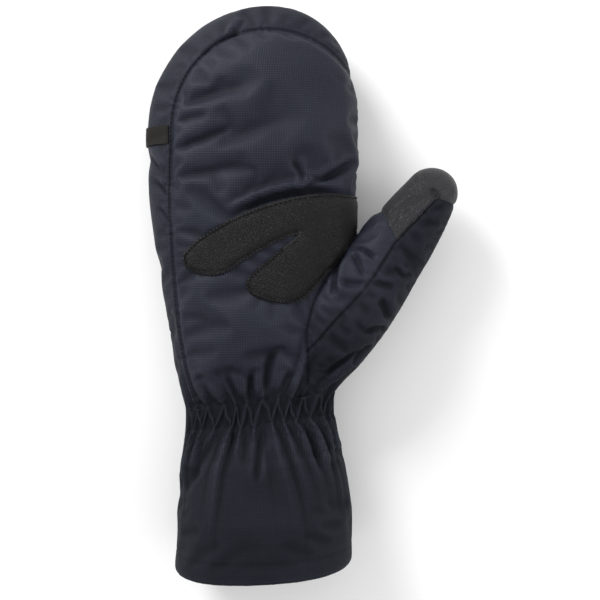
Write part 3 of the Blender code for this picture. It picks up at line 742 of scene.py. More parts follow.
ALL_CREASES = PALM_CREASES + THUMB_CREASES + SIDE_CREASES
print("creases:", len(ALL_CREASES))

# %% [markdown]
# ## Pressing the creases in
#
# A crease is a narrow valley with a soft ridge beside it, and it fades towards its two ends. It moves
# only what faces up, along the skin's own normal.

# %% Skin with its creases
PRESSED_FIRST = 0.8
GUSSET_EDGE = 0.001


def crease_height(points, creases):
    """How far the creases raise or lower the cloth at points, seen in plan."""
    total = np.zeros(len(points))
    for crease in creases:
        line = smooth_curve(np.array(crease.line) / 1000, 6)
        margin = 7 * crease.width / 1000
        middle = (line.min(axis=0) + line.max(axis=0)) / 2
        near = (np.abs(points[:, :2] - middle) < np.ptp(line, axis=0) / 2 + margin).all(axis=1)
        away, run = line_place(points[near], line)
        length = np.linalg.norm(np.diff(line, axis=0), axis=1).sum()
        ends = smooth_step(run, 0, 0.3 * length) * smooth_step(length - run, 0, 0.3 * length)
        depth, width = crease.depth / 1000, crease.width / 1000
        side = np.copysign(1.0, crease.lip)
        ridge = abs(crease.lip) * bump(side * away, 2.3 * width, 1.5 * width)
        total[near] += ends * depth * (ridge - bump(away, 0, width))
    return total


def creased(points, normals, lay, share):
    """Points with a share of every crease pressed in, on the side that faces up."""
    up = smooth_step(normals[:, 2], 0.05, 0.5)
    thumb = smooth_step(lay.on_thumb, -0.0005, 0.0015)
    height = crease_height(points, PALM_CREASES) * (1 - thumb)
    height += crease_height(points, THUMB_CREASES) * thumb
    height += crease_height(points, SIDE_CREASES) * (lay.gusset < GUSSET_EDGE)
    return points + normals * (share * up * height)[:, None]


def normals_of(mesh, points):
    """Smooth normals of the mesh's points when they stand at the given places."""
    held = mesh.copy()
    held.vertices.foreach_set("co", points.astype(np.float32).ravel())
    held.update()
    flat = np.empty(len(points) * 3, np.float32)
    held.vertex_normals.foreach_get("vector", flat)
    bpy.data.meshes.remove(held)
    return flat.reshape(-1, 3).astype(float)


rest_normals = normals_of(skin_mesh, rest)
start = creased(rest, rest_normals, rest_lay, PRESSED_FIRST)
deepest = np.linalg.norm(start - rest, axis=1).max()
print("the deepest crease moves the skin by", round(1000 * float(deepest), 1), "mm")

# %% [markdown]
# ## Filling the skin with a cloth simulation
#
# Padding pushes a shell out, while the seams hold it in. The panels are cut longer than their seams, so
# the spare cloth wrinkles, most of all close to a seam. The simulation is given just that: a little
# pressure, spare length away from the seams, tight seams that are held nearly still, and a hem, a
# casing and a floor side that hardly move. Two weights on the points say this. One is how firmly a point
# is held, and the other is how far the cloth there is drawn in.

# %% Where the cloth is held and where it is tight
def add_group(obj, name, weights):
    group = obj.vertex_groups.new(name=name)
    steps = np.round(np.clip(weights, 0, 1) * 40).astype(int)
    for step in np.unique(steps):
        group.add(np.flatnonzero(steps == step).tolist(), float(step / 40), "REPLACE")


def hold_weights(points, lay):
    """1 where the cloth is held still, 0 where it is free."""
    seam = 0.75 * bump(seam_distance(lay), 0, 0.0022)
    casing = smooth_step(0.028 - np.abs(lay.station - (WRIST_Y + CASING_END_Y) / 2), 0, 0.020)
    rim = 0.6 * bump(lay.thumb_angle, 0, 0.7) * (lay.on_thumb > 0.002)
    hem = smooth_step(HEM_Y + 0.010 - lay.station, 0, 0.010)
    floor = 0.8 * smooth_step(0.0012 - points[:, 2], 0, 0.001)
    depth = patch_depth(points)
    on_patch = (lay.side > 0) & (lay.on_thumb < 0)
    patch = 0.35 * smooth_step(depth, -0.002, 0.004) * on_patch
    pressed = np.abs(crease_height(points, ALL_CREASES)) / 0.0015
    crease = 0.3 * np.clip(pressed, 0, 1) * smooth_step(points[:, 2], 0.02, 0.03)
    return np.maximum.reduce([seam, casing, rim, hem, floor, patch, crease])


def tight_weights(points, lay):
    """1 where the cloth is drawn in, 0 where it has all its spare length."""
    seam = bump(seam_distance(lay), 0, 0.003)
    depth = patch_depth(points)
    patch = 0.62 * smooth_step(depth, -0.004, 0.004) * ((lay.side > 0) & (lay.on_thumb < 0))
    cap = 0.62 * ((lay.on_thumb > 0) & (lay.cap > 0))
    cuff = 0.55 * smooth_step(CASING_END_Y - 0.03 - lay.station, 0, 0.03)
    gusset = 0.35 * ((lay.gusset < 0) & (lay.on_thumb < 0))
    return np.maximum.reduce([seam, patch, cap, cuff, gusset])


held_share = float((hold_weights(rest, rest_lay) > 0.5).mean())
print("share of the points that are held firmly:", round(held_share, 2))

# %% [markdown]
# ## The simulation
#
# The cloth solver runs on the whole skin, ten times larger than life, because it is steadier at that
# size. How far a point may move is capped afterwards, so that the mitten keeps its size.

# %% Cloth simulation
SIM_SCALE = 10.0
SIM_FRAMES = 26
SPARE_CLOTH = 0.048
SEAM_TIGHTNESS = 0.05
PRESSURE = 0.35
FARTHEST_MOVE = 0.0045


def blown_up(points, lay):
    """Points of the skin after the simulation, in life size."""
    mesh = skin_mesh.copy()
    mesh.vertices.foreach_set("co", (points * SIM_SCALE).astype(np.float32).ravel())
    cloth = bpy.data.objects.new("cloth_run", mesh)
    bpy.context.scene.collection.objects.link(cloth)
    add_group(cloth, "held", hold_weights(points, lay))
    add_group(cloth, "tight", tight_weights(points, lay))
    modifier = cloth.modifiers.new("cloth", "CLOTH")
    rules = modifier.settings
    rules.quality = 4
    rules.mass = 0.3
    rules.air_damping = 2.0
    rules.bending_model = "ANGULAR"
    rules.tension_stiffness = 20
    rules.compression_stiffness = 20
    rules.shear_stiffness = 8
    rules.bending_stiffness = 4.0
    rules.use_pressure = True
    rules.uniform_pressure_force = PRESSURE
    rules.vertex_group_mass = "held"
    rules.pin_stiffness = 1.5
    rules.vertex_group_shrink = "tight"
    rules.shrink_min = -SPARE_CLOTH
    rules.shrink_max = SEAM_TIGHTNESS
    rules.effector_weights.gravity = 0
    modifier.collision_settings.use_collision = False
    modifier.collision_settings.use_self_collision = False
    modifier.point_cache.frame_start = 1
    modifier.point_cache.frame_end = SIM_FRAMES
    for number in range(1, SIM_FRAMES + 1):
        bpy.context.scene.frame_set(number)
    found = points_of(evaluated_mesh(cloth)) / SIM_SCALE
    bpy.data.objects.remove(cloth)
    bpy.context.scene.frame_set(1)
    return found


filled = blown_up(start, rest_lay)
move = filled - rest
size = np.linalg.norm(move, axis=1)
middle_move, most_move = np.percentile(size, [50, 95]) * 1000
print("the cloth moved", round(float(middle_move), 2), "mm in the middle,")
print("and at most places under", round(float(most_move), 2), "mm")
move *= np.minimum(1, FARTHEST_MOVE / np.maximum(size, 1e-9))[:, None]
filled = rest + move
filled[:, 2] = np.maximum(filled[:, 2], 0.0)

# %% [markdown]
# ## The lining, and one finer division
#
# A second layer of points inside the skin is kept beside the outer one: it is the lining. It comes from
# the calm skin before filling, because padding hides the wrinkles from the inside. Then the skin is
# divided once more, and twice in the narrow band of the gathers.

# %% The lining, and one finer division
def wall_at(station):
    """Thickness of shell, padding and lining together."""
    hand = mix(0.004, 0.005, smooth_step(station, WRIST_Y, WRIST_Y + 0.02))
    return mix(0.0025, hand, smooth_step(station, CASING_END_Y - 0.012, CASING_END_Y))


calm = smoothed(rest, skin_edges, 12)
calm_normals = smoothed(normals_of(skin_mesh, calm), skin_edges, 10)
calm_normals /= np.linalg.norm(calm_normals, axis=1)[:, None]
lining = calm - calm_normals * wall_at(rest_lay.station)[:, None]


def with_vectors(mesh, **layers):
    for name, values in layers.items():
        layer = mesh.attributes.new(name, "FLOAT_VECTOR", "POINT")
        layer.data.foreach_set("vector", values.astype(np.float32).ravel())


def vectors_of(mesh, name):
    flat = np.empty(len(mesh.vertices) * 3, np.float32)
    mesh.attributes[name].data.foreach_get("vector", flat)
    return flat.reshape(-1, 3).astype(float)


coarse = skin_mesh.copy()
coarse.vertices.foreach_set("co", filled.astype(np.float32).ravel())
with_vectors(coarse, rest=rest, lining=lining)
holder = bpy.data.objects.new("holder", coarse)
bpy.context.scene.collection.objects.link(holder)
finer = holder.modifiers.new("finer", "SUBSURF")
finer.levels = 1
fine_mesh = evaluated_mesh(holder)
bpy.data.objects.remove(holder)


def finer_near_wrist(mesh):
    """Divides the faces of the gathers once more, so that narrow ridges have enough points."""
    station = lay_out(vectors_of(mesh, "rest")).station
    inside = (station > CASING_END_Y - 0.008) & (station < WRIST_Y + 0.007)
    bm = bmesh.new()
    bm.from_mesh(mesh)
    edges = [e for e in bm.edges if inside[e.verts[0].index] and inside[e.verts[1].index]]
    bmesh.ops.subdivide_edges(bm, edges=edges, cuts=1, use_grid_fill=True)
    bm.to_mesh(mesh)
    bm.free()


finer_near_wrist(fine_mesh)
fine_lay = lay_out(vectors_of(fine_mesh, "rest"))
fine_patch = patch_depth(vectors_of(fine_mesh, "rest"))
print("finer skin:", len(fine_mesh.vertices), "points")


# %% [markdown]
# ## Cutting the filled skin along its seams
#
# For each seam the points carry a number that is 0 on the seam. Where an edge of the mesh crosses 0, it
# is split at that very place, and the faces on the two sides are parted by a new edge. The cut is as
# clean as scissors, whatever way the squares lie. A cut runs only where its limits allow: the thumb's
# seam, for one, is cut on the thumb alone. The faces are split in the order of their numbers, so that
# each run writes the same mesh.

# %% Cutting along the place where a number is 0
Cut = namedtuple("Cut", "name values limits")
CUTS = [
    Cut("hem", fine_lay.station - HEM_Y, []),
    Cut("casing_end", fine_lay.station - CASING_END_Y, []),
    Cut("wrist", fine_lay.station - WRIST_Y, []),
    Cut("on_thumb", fine_lay.on_thumb, [("wrist", 1)]),
    Cut("gusset", fine_lay.gusset, [("wrist", 1), ("on_thumb", -1)]),
    Cut("side", fine_lay.side, [("wrist", 1), ("on_thumb", -1), ("gusset", 1)]),
    Cut("cap", fine_lay.cap, [("wrist", 1), ("on_thumb", 1)]),
    Cut("inner_outer", fine_lay.inner_outer, [("wrist", 1), ("on_thumb", 1), ("cap", -1)]),
    Cut("patch", fine_patch, [("wrist", 1), ("on_thumb", -1), ("side", 1), ("gusset", 1)]),
]
SNAP = 0.12


def cut_mesh(mesh, cuts):
    """Splits the mesh's edges and faces along each cut and returns it as a bmesh with its numbers."""
    bm = bmesh.new()
    bm.from_mesh(mesh)
    layers = {cut.name: bm.verts.layers.float.new(cut.name) for cut in cuts}
    bm.verts.ensure_lookup_table()
    for cut in cuts:
        layer = layers[cut.name]
        for vert, value in zip(bm.verts, cut.values.tolist()):
            vert[layer] = value
    for cut in cuts:
        layer = layers[cut.name]
        limits = [(layers[name], sign) for name, sign in cut.limits]

        def allowed(vert):
            return all(vert[other] * sign >= -1e-9 for other, sign in limits)

        crossing = [e for e in bm.edges if e.verts[0][layer] * e.verts[1][layer] < 0]
        crossing = [e for e in crossing if allowed(e.verts[0]) and allowed(e.verts[1])]
        on_line = set()
        for edge in crossing:
            a, b = edge.verts
            if a[layer] * b[layer] >= 0:
                continue
            share = a[layer] / (a[layer] - b[layer])
            if share < SNAP:
                a[layer] = 0.0
                on_line.add(a)
            elif share > 1 - SNAP:
                b[layer] = 0.0
                on_line.add(b)
        for edge in crossing:
            a, b = edge.verts
            if a[layer] * b[layer] >= 0:
                continue
            share = a[layer] / (a[layer] - b[layer])
            _, vert = bmesh.utils.edge_split(edge, a, share)
            vert[layer] = 0.0
            on_line.add(vert)
        bm.faces.index_update()
        touched = {face for vert in on_line for face in vert.link_faces}
        for face in sorted(touched, key=lambda face: face.index):
            ends = [vert for vert in face.verts if vert[layer] == 0.0]
            if len(ends) != 2 or ends[0] in (e.other_vert(ends[1]) for e in ends[1].link_edges):
                continue
            bmesh.utils.face_split(face, ends[0], ends[1])
    return bm, layers


cut_skin, cut_layers = cut_mesh(fine_mesh, CUTS)
cut_skin.verts.ensure_lookup_table()
numbers = {name: np.array([v[layer] for v in cut_skin.verts]) for name, layer in cut_layers.items()}
whole_mesh = bpy.data.meshes.new("whole")
cut_skin.to_mesh(whole_mesh)
cut_skin.free()
body_points = points_of(whole_mesh)
body_rest = vectors_of(whole_mesh, "rest")
body_lining = vectors_of(whole_mesh, "lining")
lay = lay_out(body_rest)
print("cut skin:", len(body_points), "points,", len(whole_mesh.polygons), "faces")

# %% [markdown]
# ## Which piece each face belongs to
#
# After the cuts every face lies wholly on one side of each seam, so the signs of its numbers name its
# panel. Near a corner where three seams meet a few faces can end up alone on the wrong side. They are
# found as small islands and given to the panel around them.

# %% Which piece each face belongs to
loop_start = np.empty(len(whole_mesh.polygons), np.int32)
loop_total = np.empty(len(whole_mesh.polygons), np.int32)
loop_point = np.empty(len(whole_mesh.loops), np.int32)
whole_mesh.polygons.foreach_get("loop_start", loop_start)
whole_mesh.polygons.foreach_get("loop_total", loop_total)
whole_mesh.loops.foreach_get("vertex_index", loop_point)
loop_face = np.repeat(np.arange(len(loop_start)), loop_total)


def face_mean(values):
    return np.bincount(loop_face, values[loop_point]) / loop_total


side_of = {name: face_mean(values) for name, values in numbers.items()}
THUMB_PIECES = ["thumb_tip", "thumb_outer_panel", "thumb_inner_panel"]
HAND_PIECES = ["side_gusset", "palm_panel", "back_panel"]
PIECES = ["none", "cuff", "wrist_casing", *THUMB_PIECES, *HAND_PIECES]
face_piece = np.select(
    [
        side_of["hem"] < 0,
        side_of["casing_end"] < 0,
        side_of["wrist"] < 0,
        (side_of["on_thumb"] > 0) & (side_of["cap"] > 0),
        (side_of["on_thumb"] > 0) & (side_of["inner_outer"] > 0),
        side_of["on_thumb"] > 0,
        side_of["gusset"] < 0,
        side_of["side"] > 0,
    ],
    range(8),
    8,
)


SMALL_ISLAND = 0.2


def tidy_islands(piece_of):
    """Hands each small island of a piece over to the piece around it."""
    loop_next = np.arange(len(loop_point)) + 1
    loop_next[loop_start + loop_total - 1] = loop_start
    a, b = loop_point, loop_point[loop_next]
    key = np.minimum(a, b).astype(np.int64) * len(body_points) + np.maximum(a, b)
    order = np.argsort(key, kind="stable")
    same = key[order][1:] == key[order][:-1]
    pairs = np.stack([loop_face[order][:-1][same], loop_face[order][1:][same]], axis=1)
    for _ in range(3):
        label = np.arange(len(piece_of))
        joined = pairs[piece_of[pairs[:, 0]] == piece_of[pairs[:, 1]]]
        while True:
            low = np.minimum(label[joined[:, 0]], label[joined[:, 1]])
            new = label.copy()
            np.minimum.at(new, joined[:, 0], low)
            np.minimum.at(new, joined[:, 1], low)
            new = new[new]
            new = new[new]
            if (new == label).all():
                break
            label = new
        size = np.bincount(label, minlength=len(label))
        largest = {p: size[label[piece_of == p]].max() for p in np.unique(piece_of)}
        limits = np.array([SMALL_ISLAND * largest[piece] for piece in piece_of])
        small = size[label] < limits
        if not small.any():
            break
        across = pairs[piece_of[pairs[:, 0]] != piece_of[pairs[:, 1]]]
        for one, other in ((0, 1), (1, 0)):
            pick = small[across[:, one]] & ~small[across[:, other]]
            votes = {}
            for island, piece in zip(label[across[pick, one]], piece_of[across[pick, other]]):
                votes.setdefault(int(island), []).append(int(piece))
            for island, found in votes.items():
                piece_of[label == island] = max(sorted(set(found)), key=found.count)
    return piece_of


face_piece = tidy_islands(face_piece)
for number, name in enumerate(PIECES):
    print(name, int((face_piece == number).sum()), "faces")

# %% [markdown]
# ## Gathers of the wrist
#
# Elastic in two rows draws the wrist in. At a row the cloth is pinched into small ridges, and away from
# it each ridge widens into a fold that dies out at its own length and leans outwards as it goes. The
# folds below stand half a step aside from those above, and slanted ridges join them between the rows, so
# that the casing shows little diamonds. Each fold's edges, reach and rise come from a seeded dice.

# %% Gathers of the wrist
FOLDS_ROUND = 28
fold_dice = np.random.default_rng(11)
FOLD_EDGES = (np.arange(FOLDS_ROUND) + fold_dice.uniform(-0.20, 0.20, FOLDS_ROUND)) / FOLDS_ROUND
RING_STEPS = 721
PINCH_RIDGE = 0.0017
PINCH_DEPTH = 0.0012
FAN_OUT = 0.055
FAN_LENGTH = 0.025
CASING_MIDDLE_Y = (WRIST_Y + CASING_END_Y) / 2
ring_turns = np.linspace(0, 1, RING_STEPS)
ring = body_surface(np.full(RING_STEPS, CASING_MIDDLE_Y), math.pi - ring_turns * 2 * math.pi)
ring_length = np.concatenate([[0], np.cumsum(np.linalg.norm(np.diff(ring, axis=0), axis=1))])


def fold_number(turn):
    """Whole part: which fold round the wrist, and the rest: the share across it."""
    around = np.interp(turn, ring_turns, ring_length / ring_length[-1])
    edges = np.append(FOLD_EDGES, FOLD_EDGES[0] + 1)
    around = (around - edges[0]) % 1.0 + edges[0]
    return np.interp(around, edges, np.arange(FOLDS_ROUND + 1)) % FOLDS_ROUND


def fold_row(seed, reach, rise):
    """Reach and rise of each fold on one side of a row of elastic."""
    dice = np.random.default_rng(seed)
    return dice.uniform(*reach, FOLDS_ROUND), dice.uniform(*rise, FOLDS_ROUND)


def pinched(share):
    """Height at the elastic itself: a narrow ridge in a sunk line."""
    return PINCH_RIDGE * bump(share, 0.5, 0.16) - PINCH_DEPTH


def folds_at(number, distance, row):
    """Height of the folds: pointed at the elastic, full further away, then fading."""
    reach, rise = row
    k, share = np.floor(number).astype(int), number - np.floor(number)

    def strength(fold):
        fold = fold % FOLDS_ROUND
        return rise[fold] * np.exp(-((np.maximum(distance, 0) / reach[fold]) ** 2))

    ridge = mix(np.sin(math.pi * share), 1 - np.abs(2 * share - 1), 0.6)
    ridge = ridge ** mix(2.6, 1.05, smooth_step(distance, 0.0, 0.0070))
    valley = mix(strength(k - 1) + strength(k), strength(k) + strength(k + 1), share) / 2
    away = smooth_step(distance, 0.0, 0.0028)
    return mix(pinched(share), strength(k) * ridge - 0.45 * valley, away)


def fanned(turn, distance):
    """Turn at the elastic where the fold through a point starts: the folds spread as they leave it."""
    spreading = FAN_OUT * (1 - np.exp(-np.maximum(distance, 0) / FAN_LENGTH))
    return turn - spreading * np.sin(4 * math.pi * (turn - 0.25))


def zigzag(number, distance_down):
    """Height of the slanted ridges between the two rows."""
    share = number - np.floor(number) + 0.06 * np.sin(5.1 * number + 450 * distance_down)
    slant = 0.5 * np.clip(distance_down / (WRIST_Y - CASING_END_Y), 0, 1)
    aside = np.minimum(np.abs(share - 0.5 - slant), np.abs(share - 0.5 + slant))
    return pinched(0.5 + aside)


BELOW = fold_row(11, (0.011, 0.040), (0.0025, 0.0042))
ABOVE = fold_row(12, (0.007, 0.026), (0.0020, 0.0040))
print("folds round the wrist:", FOLDS_ROUND)


# %% [markdown]
# ## The gathers' height at each point
#
# One function puts the three zones together: folds above the upper row, folds below the lower row, and
# the slanted ridges between. The rows wander a little, as sewn elastic does. Four larger folds of the
# cuff, which the photograph shows one by one, are creases like those of the palm.

# %% Height of the gathers
def gathers(lay):
    """Height of the gathers above, between and below the two rows of elastic."""
    plain = np.minimum(lay.turn, 1 - lay.turn)
    fade = smooth_step(plain, 0.030, 0.055)
    below = CASING_END_Y - lay.station
    above = lay.station - WRIST_Y
    number = fold_number(lay.turn)
    wander = 0.0009 * np.sin(1.7 * number + 1.0) + 0.0006 * np.sin(4.3 * number)
    below, above = below + wander * fade, above - wander * fade
    lower = folds_at(fold_number(fanned(lay.turn, below)) + 0.5, below, BELOW)
    upper = folds_at(fold_number(fanned(lay.turn, above)), above, ABOVE)
    middle = zigzag(number, -above)
    thumb_side = 1 - 0.65 * bump(lay.turn, 0.5, 0.045) * smooth_step(np.maximum(below, above), 0, 0.003)
    height = np.where(below >= 0, lower, np.where(above >= 0, upper, middle))
    return fade * thumb_side * height


CUFF_CREASES = [
    Crease(1.7, 1.9, 0.5, [(2.2, -120.5), (0.2, -132.7), (-1.4, -152.0)]),
    Crease(2.3, 2.2, -0.5, [(-22.0, -124.5), (-29.7, -136.5), (-35.5, -147.2), (-41.0, -157.0)]),
    Crease(2.2, 1.6, 0.8, [(24.0, -118.5), (29.5, -131.0), (34.0, -146.0)]),
    Crease(2.0, 1.5, 0.8, [(31.0, -116.5), (37.0, -129.0), (42.0, -143.0)]),
]
print("cuff creases:", len(CUFF_CREASES))

# %% [markdown]
# ## Seam valleys and puckers
#
# A seam is a narrow valley, with a row of small puckers on either side, because the needle draws the
# cloth together. The puckers come from two slow waves added to a fast one, so that no two are alike.
# Everything here moves points along the skin's normal, so the pieces still meet exactly.

# %% Seam valleys and puckers
NEEDLE_DEPTH = 0.0009
PULL_DEPTH = 0.0005
PUCKER_HEIGHT = 0.00028
PUCKER_STEP = 0.0075


def seam_press(distance, run, phase):
    """Depth of a seam and its puckers at a distance from it and a length along it."""
    valley = -NEEDLE_DEPTH * bump(distance, 0, 0.0010) - PULL_DEPTH * bump(distance, 0, 0.0032)
    wander = 2.2 * np.sin(run * 2 * math.pi / 0.037 + phase)
    wander = wander + 1.6 * np.sin(run * 2 * math.pi / 0.0135 + 3 * phase)
    waves = np.sin(run * 2 * math.pi / PUCKER_STEP + wander)
    strong = 0.5 + 0.5 * np.sin(run * 2 * math.pi / 0.023 + 2 * phase)
    beside = bump(distance, 0.0016, 0.0022)
    return valley + PUCKER_HEIGHT * strong * waves * beside


def sewn_height(points, lay):
    """All that sewing does to the height of the hand and the thumb."""
    hand = lay.station > WRIST_Y
    on_thumb = smooth_step(lay.on_thumb, -0.0006, 0.0006)
    gusset = seam_press(np.abs(lay.gusset), lay.gusset_run, 0.4)
    side = seam_press(np.abs(lay.side), points[:, 1], 1.1) * (lay.gusset > 0)
    root = seam_press(np.abs(lay.on_thumb) * 1.2, lay.seam_run, 2.0)
    middle = seam_press(np.abs(lay.inner_outer), lay.seam_run, 2.7) * (lay.cap < 0.0)
    cap = 0.6 * seam_press(np.abs(lay.cap), lay.inner_outer, 0.9)
    body = np.minimum(gusset, side)
    thumb = np.minimum(middle, cap)
    return hand * (mix(body, thumb, on_thumb) + root)


print("a seam is pressed in by", round(-1000 * float(seam_press(0.0, 0.0, 0.0)), 2), "mm")

# %% [markdown]
# ## All heights together
#
# The gathers, the sewing and the creases add up to one height for each point, along its normal. The
# creases of the hand were pressed in before the filling too, and a smaller press here keeps them sharp.
# The hem thins to a folded edge, with a faint line above it where it is sewn.

# %% Heights of the outer skin
PALM_SHARPER = 0.40
THUMB_SHARPER = 0.55
HEM_THINNING = 0.0009
HEM_FOLD = 0.0014
HEM_LINE_UP = 0.0100

normals = normals_of(whole_mesh, body_points)
height = gathers(lay) + sewn_height(body_points, lay)
facing = smooth_step(normals[:, 2], 0.1, 0.5)
on_thumb = smooth_step(lay.on_thumb, -0.0005, 0.0015)
height += crease_height(body_rest, CUFF_CREASES) * facing
height += PALM_SHARPER * crease_height(body_rest, PALM_CREASES) * facing * (1 - on_thumb)
height += THUMB_SHARPER * crease_height(body_rest, THUMB_CREASES) * facing * on_thumb
height += PALM_SHARPER * crease_height(body_rest, SIDE_CREASES) * facing * (lay.gusset < GUSSET_EDGE)
height -= HEM_THINNING * np.clip(1 - (lay.station - HEM_Y) / HEM_FOLD, 0, 1) ** 2
height -= 0.0002 * bump(lay.station - HEM_Y, HEM_LINE_UP, 0.0010)
outer_points = body_points + normals * height[:, None]
outer_points[:, 2] = np.maximum(outer_points[:, 2], 0.0)
low_mm, high_mm = 1000 * height.min(), 1000 * height.max()
print("height from", round(float(low_mm), 2), "to", round(float(high_mm), 2), "mm")

# %% [markdown]
# ## The least wall, and the painted shade of the folds
#
# Where a fold comes near the lining, the lining gives way, so that the wall is nowhere thinner than real
# cloth. Then each point gets a painted shade. One part says how far it lies below its surroundings: it
# darkens valleys as painted shade and lightens crests as a painted highlight. The other part is painted
# shade laid over whole regions: the cuff, the casing, the gusset, the thumb's outer panel and the thumb's
# root, and a light share on all but the thumb's inner panel, which is left lit.

# %% Lining and painted shade
LEAST_WALL = 0.0015
# Painted shade: the fold depth for full shade, the painted highlight on crests, and each region's shade.
DEEP_FOLD = 0.0011
CREST_PAINTED_HIGHLIGHT = -0.45
PLAIN_PAINTED_SHADE = 0.14
WRIST_PAINTED_SHADE = 0.78
CASING_PAINTED_SHADE = 0.92
OUTER_THUMB_PAINTED_SHADE = 0.76
THUMB_ROOT_PAINTED_SHADE = 0.55
GUSSET_PAINTED_SHADE = 0.40

body_edges = edges_of(whole_mesh)
gap = np.einsum("ij,ij->i", outer_points - body_lining, normals)
lacking = np.maximum(LEAST_WALL - gap, 0)[:, None]
body_lining -= normals * np.maximum(smoothed(lacking, body_edges, 2), lacking)
# Painted shade: points sunk below their smoothed neighbours are darkened, crests lightened as a highlight.
flatter = smoothed(outer_points, body_edges, 16)
sunk = np.einsum("ij,ij->i", flatter - outer_points, normals_of(whole_mesh, flatter))
shade = smoothed(np.clip(sunk / DEEP_FOLD, CREST_PAINTED_HIGHLIGHT, 1)[:, None], body_edges, 1)[:, 0]
# Painted shade over whole regions; the thumb's inner panel alone is left without it, so it reads lit.
painted_panel_shades = [
    PLAIN_PAINTED_SHADE * ((lay.on_thumb < 0) | (lay.inner_outer > 0)),
    WRIST_PAINTED_SHADE * smooth_step(WRIST_Y + 0.022 - lay.station, 0, 0.022),
    CASING_PAINTED_SHADE * smooth_step(0.012 - np.abs(lay.station - CASING_MIDDLE_Y), 0, 0.008),
    OUTER_THUMB_PAINTED_SHADE * smooth_step(lay.inner_outer, -0.0004, 0.0004) * (lay.on_thumb > 0),
    THUMB_ROOT_PAINTED_SHADE * (1 - smooth_step(body_rest[:, 1], -0.066, -0.054)) * (lay.on_thumb > 0),
    GUSSET_PAINTED_SHADE * (lay.gusset < 0) * (lay.on_thumb < 0),
]
shade = np.clip(shade + np.maximum.reduce(painted_panel_shades), 0, 1)
print("points where the lining gave way:", int((lacking > 0).sum()))

# %% [markdown]
# ## Leather lies smoother than nylon
#
# The patch is stiff, so it bridges the small wrinkles of the palm. The skin under it is smoothed first,
# and the patch is then a layer on that, with its edge pressed down by the stitches and its middle full.

# %% Calmer cloth under the patch
CALM_ROUNDS = 40
CALM_SHARE = 0.85

depth_in_patch = patch_depth(body_rest)
on_palm = (lay.station > WRIST_Y) & (lay.side > -0.002) & (lay.gusset > 0)
off_the_thumb = 1 - smooth_step(lay.on_thumb, -0.0015, 0.0)
under_patch = smooth_step(depth_in_patch, -0.0004, 0.0016) * on_palm * off_the_thumb
calmer = smoothed(outer_points, body_edges, CALM_ROUNDS)
outer_points += (calmer - outer_points) * (CALM_SHARE * under_patch)[:, None]
print("points under the patch:", int((under_patch > 0.5).sum()))

# %% [markdown]
# ## Laying the weave
#
# The squares of a ripstop follow the cloth, so every panel has its own UV map, in metres. Round the body
# it is the length along the section, and along the body it is the length over the middle of the palm.
# Round the thumb it is the same with the thumb's own sections.

# %% UV lengths of body and thumb
UV_STATIONS = np.linspace(HEM_Y - HEM_SPARE, TIP_START_Y + TIP_LENGTH - 1e-4, 240)
UV_TURNS = np.linspace(-math.pi, math.pi, 241)


def length_tables(reference):
    """Length round the section from a reference angle, at a grid of stations and turns."""
    angles = UV_TURNS + reference
    rings = np.array([body_surface(np.full(len(angles), y), angles) for y in UV_STATIONS])
    steps = np.linalg.norm(np.diff(rings, axis=1), axis=2)
    lengths = np.concatenate([np.zeros((len(UV_STATIONS), 1)), np.cumsum(steps, axis=1)], axis=1)
    return lengths - lengths[:, [len(UV_TURNS) // 2]]


def read_table(table, station, turn):
    row = np.interp(station, UV_STATIONS, np.arange(len(UV_STATIONS)))
    column = np.interp(turn, UV_TURNS, np.arange(len(UV_TURNS)))
    r = np.minimum(row.astype(int), len(UV_STATIONS) - 2)
    c = np.minimum(column.astype(int), len(UV_TURNS) - 2)
    fr, fc = row - r, column - c
    top = mix(table[r, c], table[r, c + 1], fc)
    return mix(top, mix(table[r + 1, c], table[r + 1, c + 1], fc), fr)


middle_line = body_surface(UV_STATIONS, np.full(len(UV_STATIONS), math.pi / 2))
middle_length = np.concatenate([[0], np.cumsum(np.linalg.norm(np.diff(middle_line, axis=0), axis=1))])


def body_uv(station, angle, reference):
    """UV of the body's points, the turn from the reference angle, and the length once round."""
    turn = (angle - reference + math.pi) % (2 * math.pi) - math.pi
    table = length_tables(reference)
    u = read_table(table, station, turn)
    round_length = np.interp(station, UV_STATIONS, table[:, -1] - table[:, 0])
    return np.stack([u, np.interp(station, UV_STATIONS, middle_length)], axis=1), turn, round_length


def thumb_uv(thumb_share, thumb_angle):
    half_width, half_depth, _, _ = thumb_section(thumb_share)
    turn = (thumb_angle - math.pi / 2 + math.pi) % (2 * math.pi) - math.pi
    around = 1.08 * (half_width + half_depth) / 2
    return np.stack([turn * around, thumb_share * THUMB_REACH], axis=1), turn, 2 * math.pi * around


print("length of cloth over the middle of the palm:", round(float(middle_length[-1]), 4))

# %% [markdown]
# ## Building a panel
#
# A panel is a closed piece: its outer faces, the same faces turned round on the lining, and a rim that
# joins the two. The lining gets its own material, because it shows in the open cuff. The normals are
# those of the whole skin, so that light runs on evenly from one panel to the next.

# %% A closed piece from the cut skin
def add_cloth_map(mesh, corner, uv, turn, round_length):
    """UV map in metres. A face that crosses the end of the turn is moved on by one round."""
    values = uv[corner].copy()
    sizes = np.empty(len(mesh.polygons), np.int32)
    mesh.polygons.foreach_get("loop_total", sizes)
    of_face = np.repeat(np.arange(len(sizes)), sizes)
    low = np.full(len(sizes), math.inf)
    high = np.full(len(sizes), -math.inf)
    np.minimum.at(low, of_face, turn[corner])
    np.maximum.at(high, of_face, turn[corner])
    wraps = ((high - low) > math.pi)[of_face] & (turn[corner] < 0)
    values[wraps, 0] += round_length[corner][wraps]
    layer = mesh.uv_layers.new(name="cloth")
    layer.data.foreach_set("uv", values.astype(np.float32).ravel())


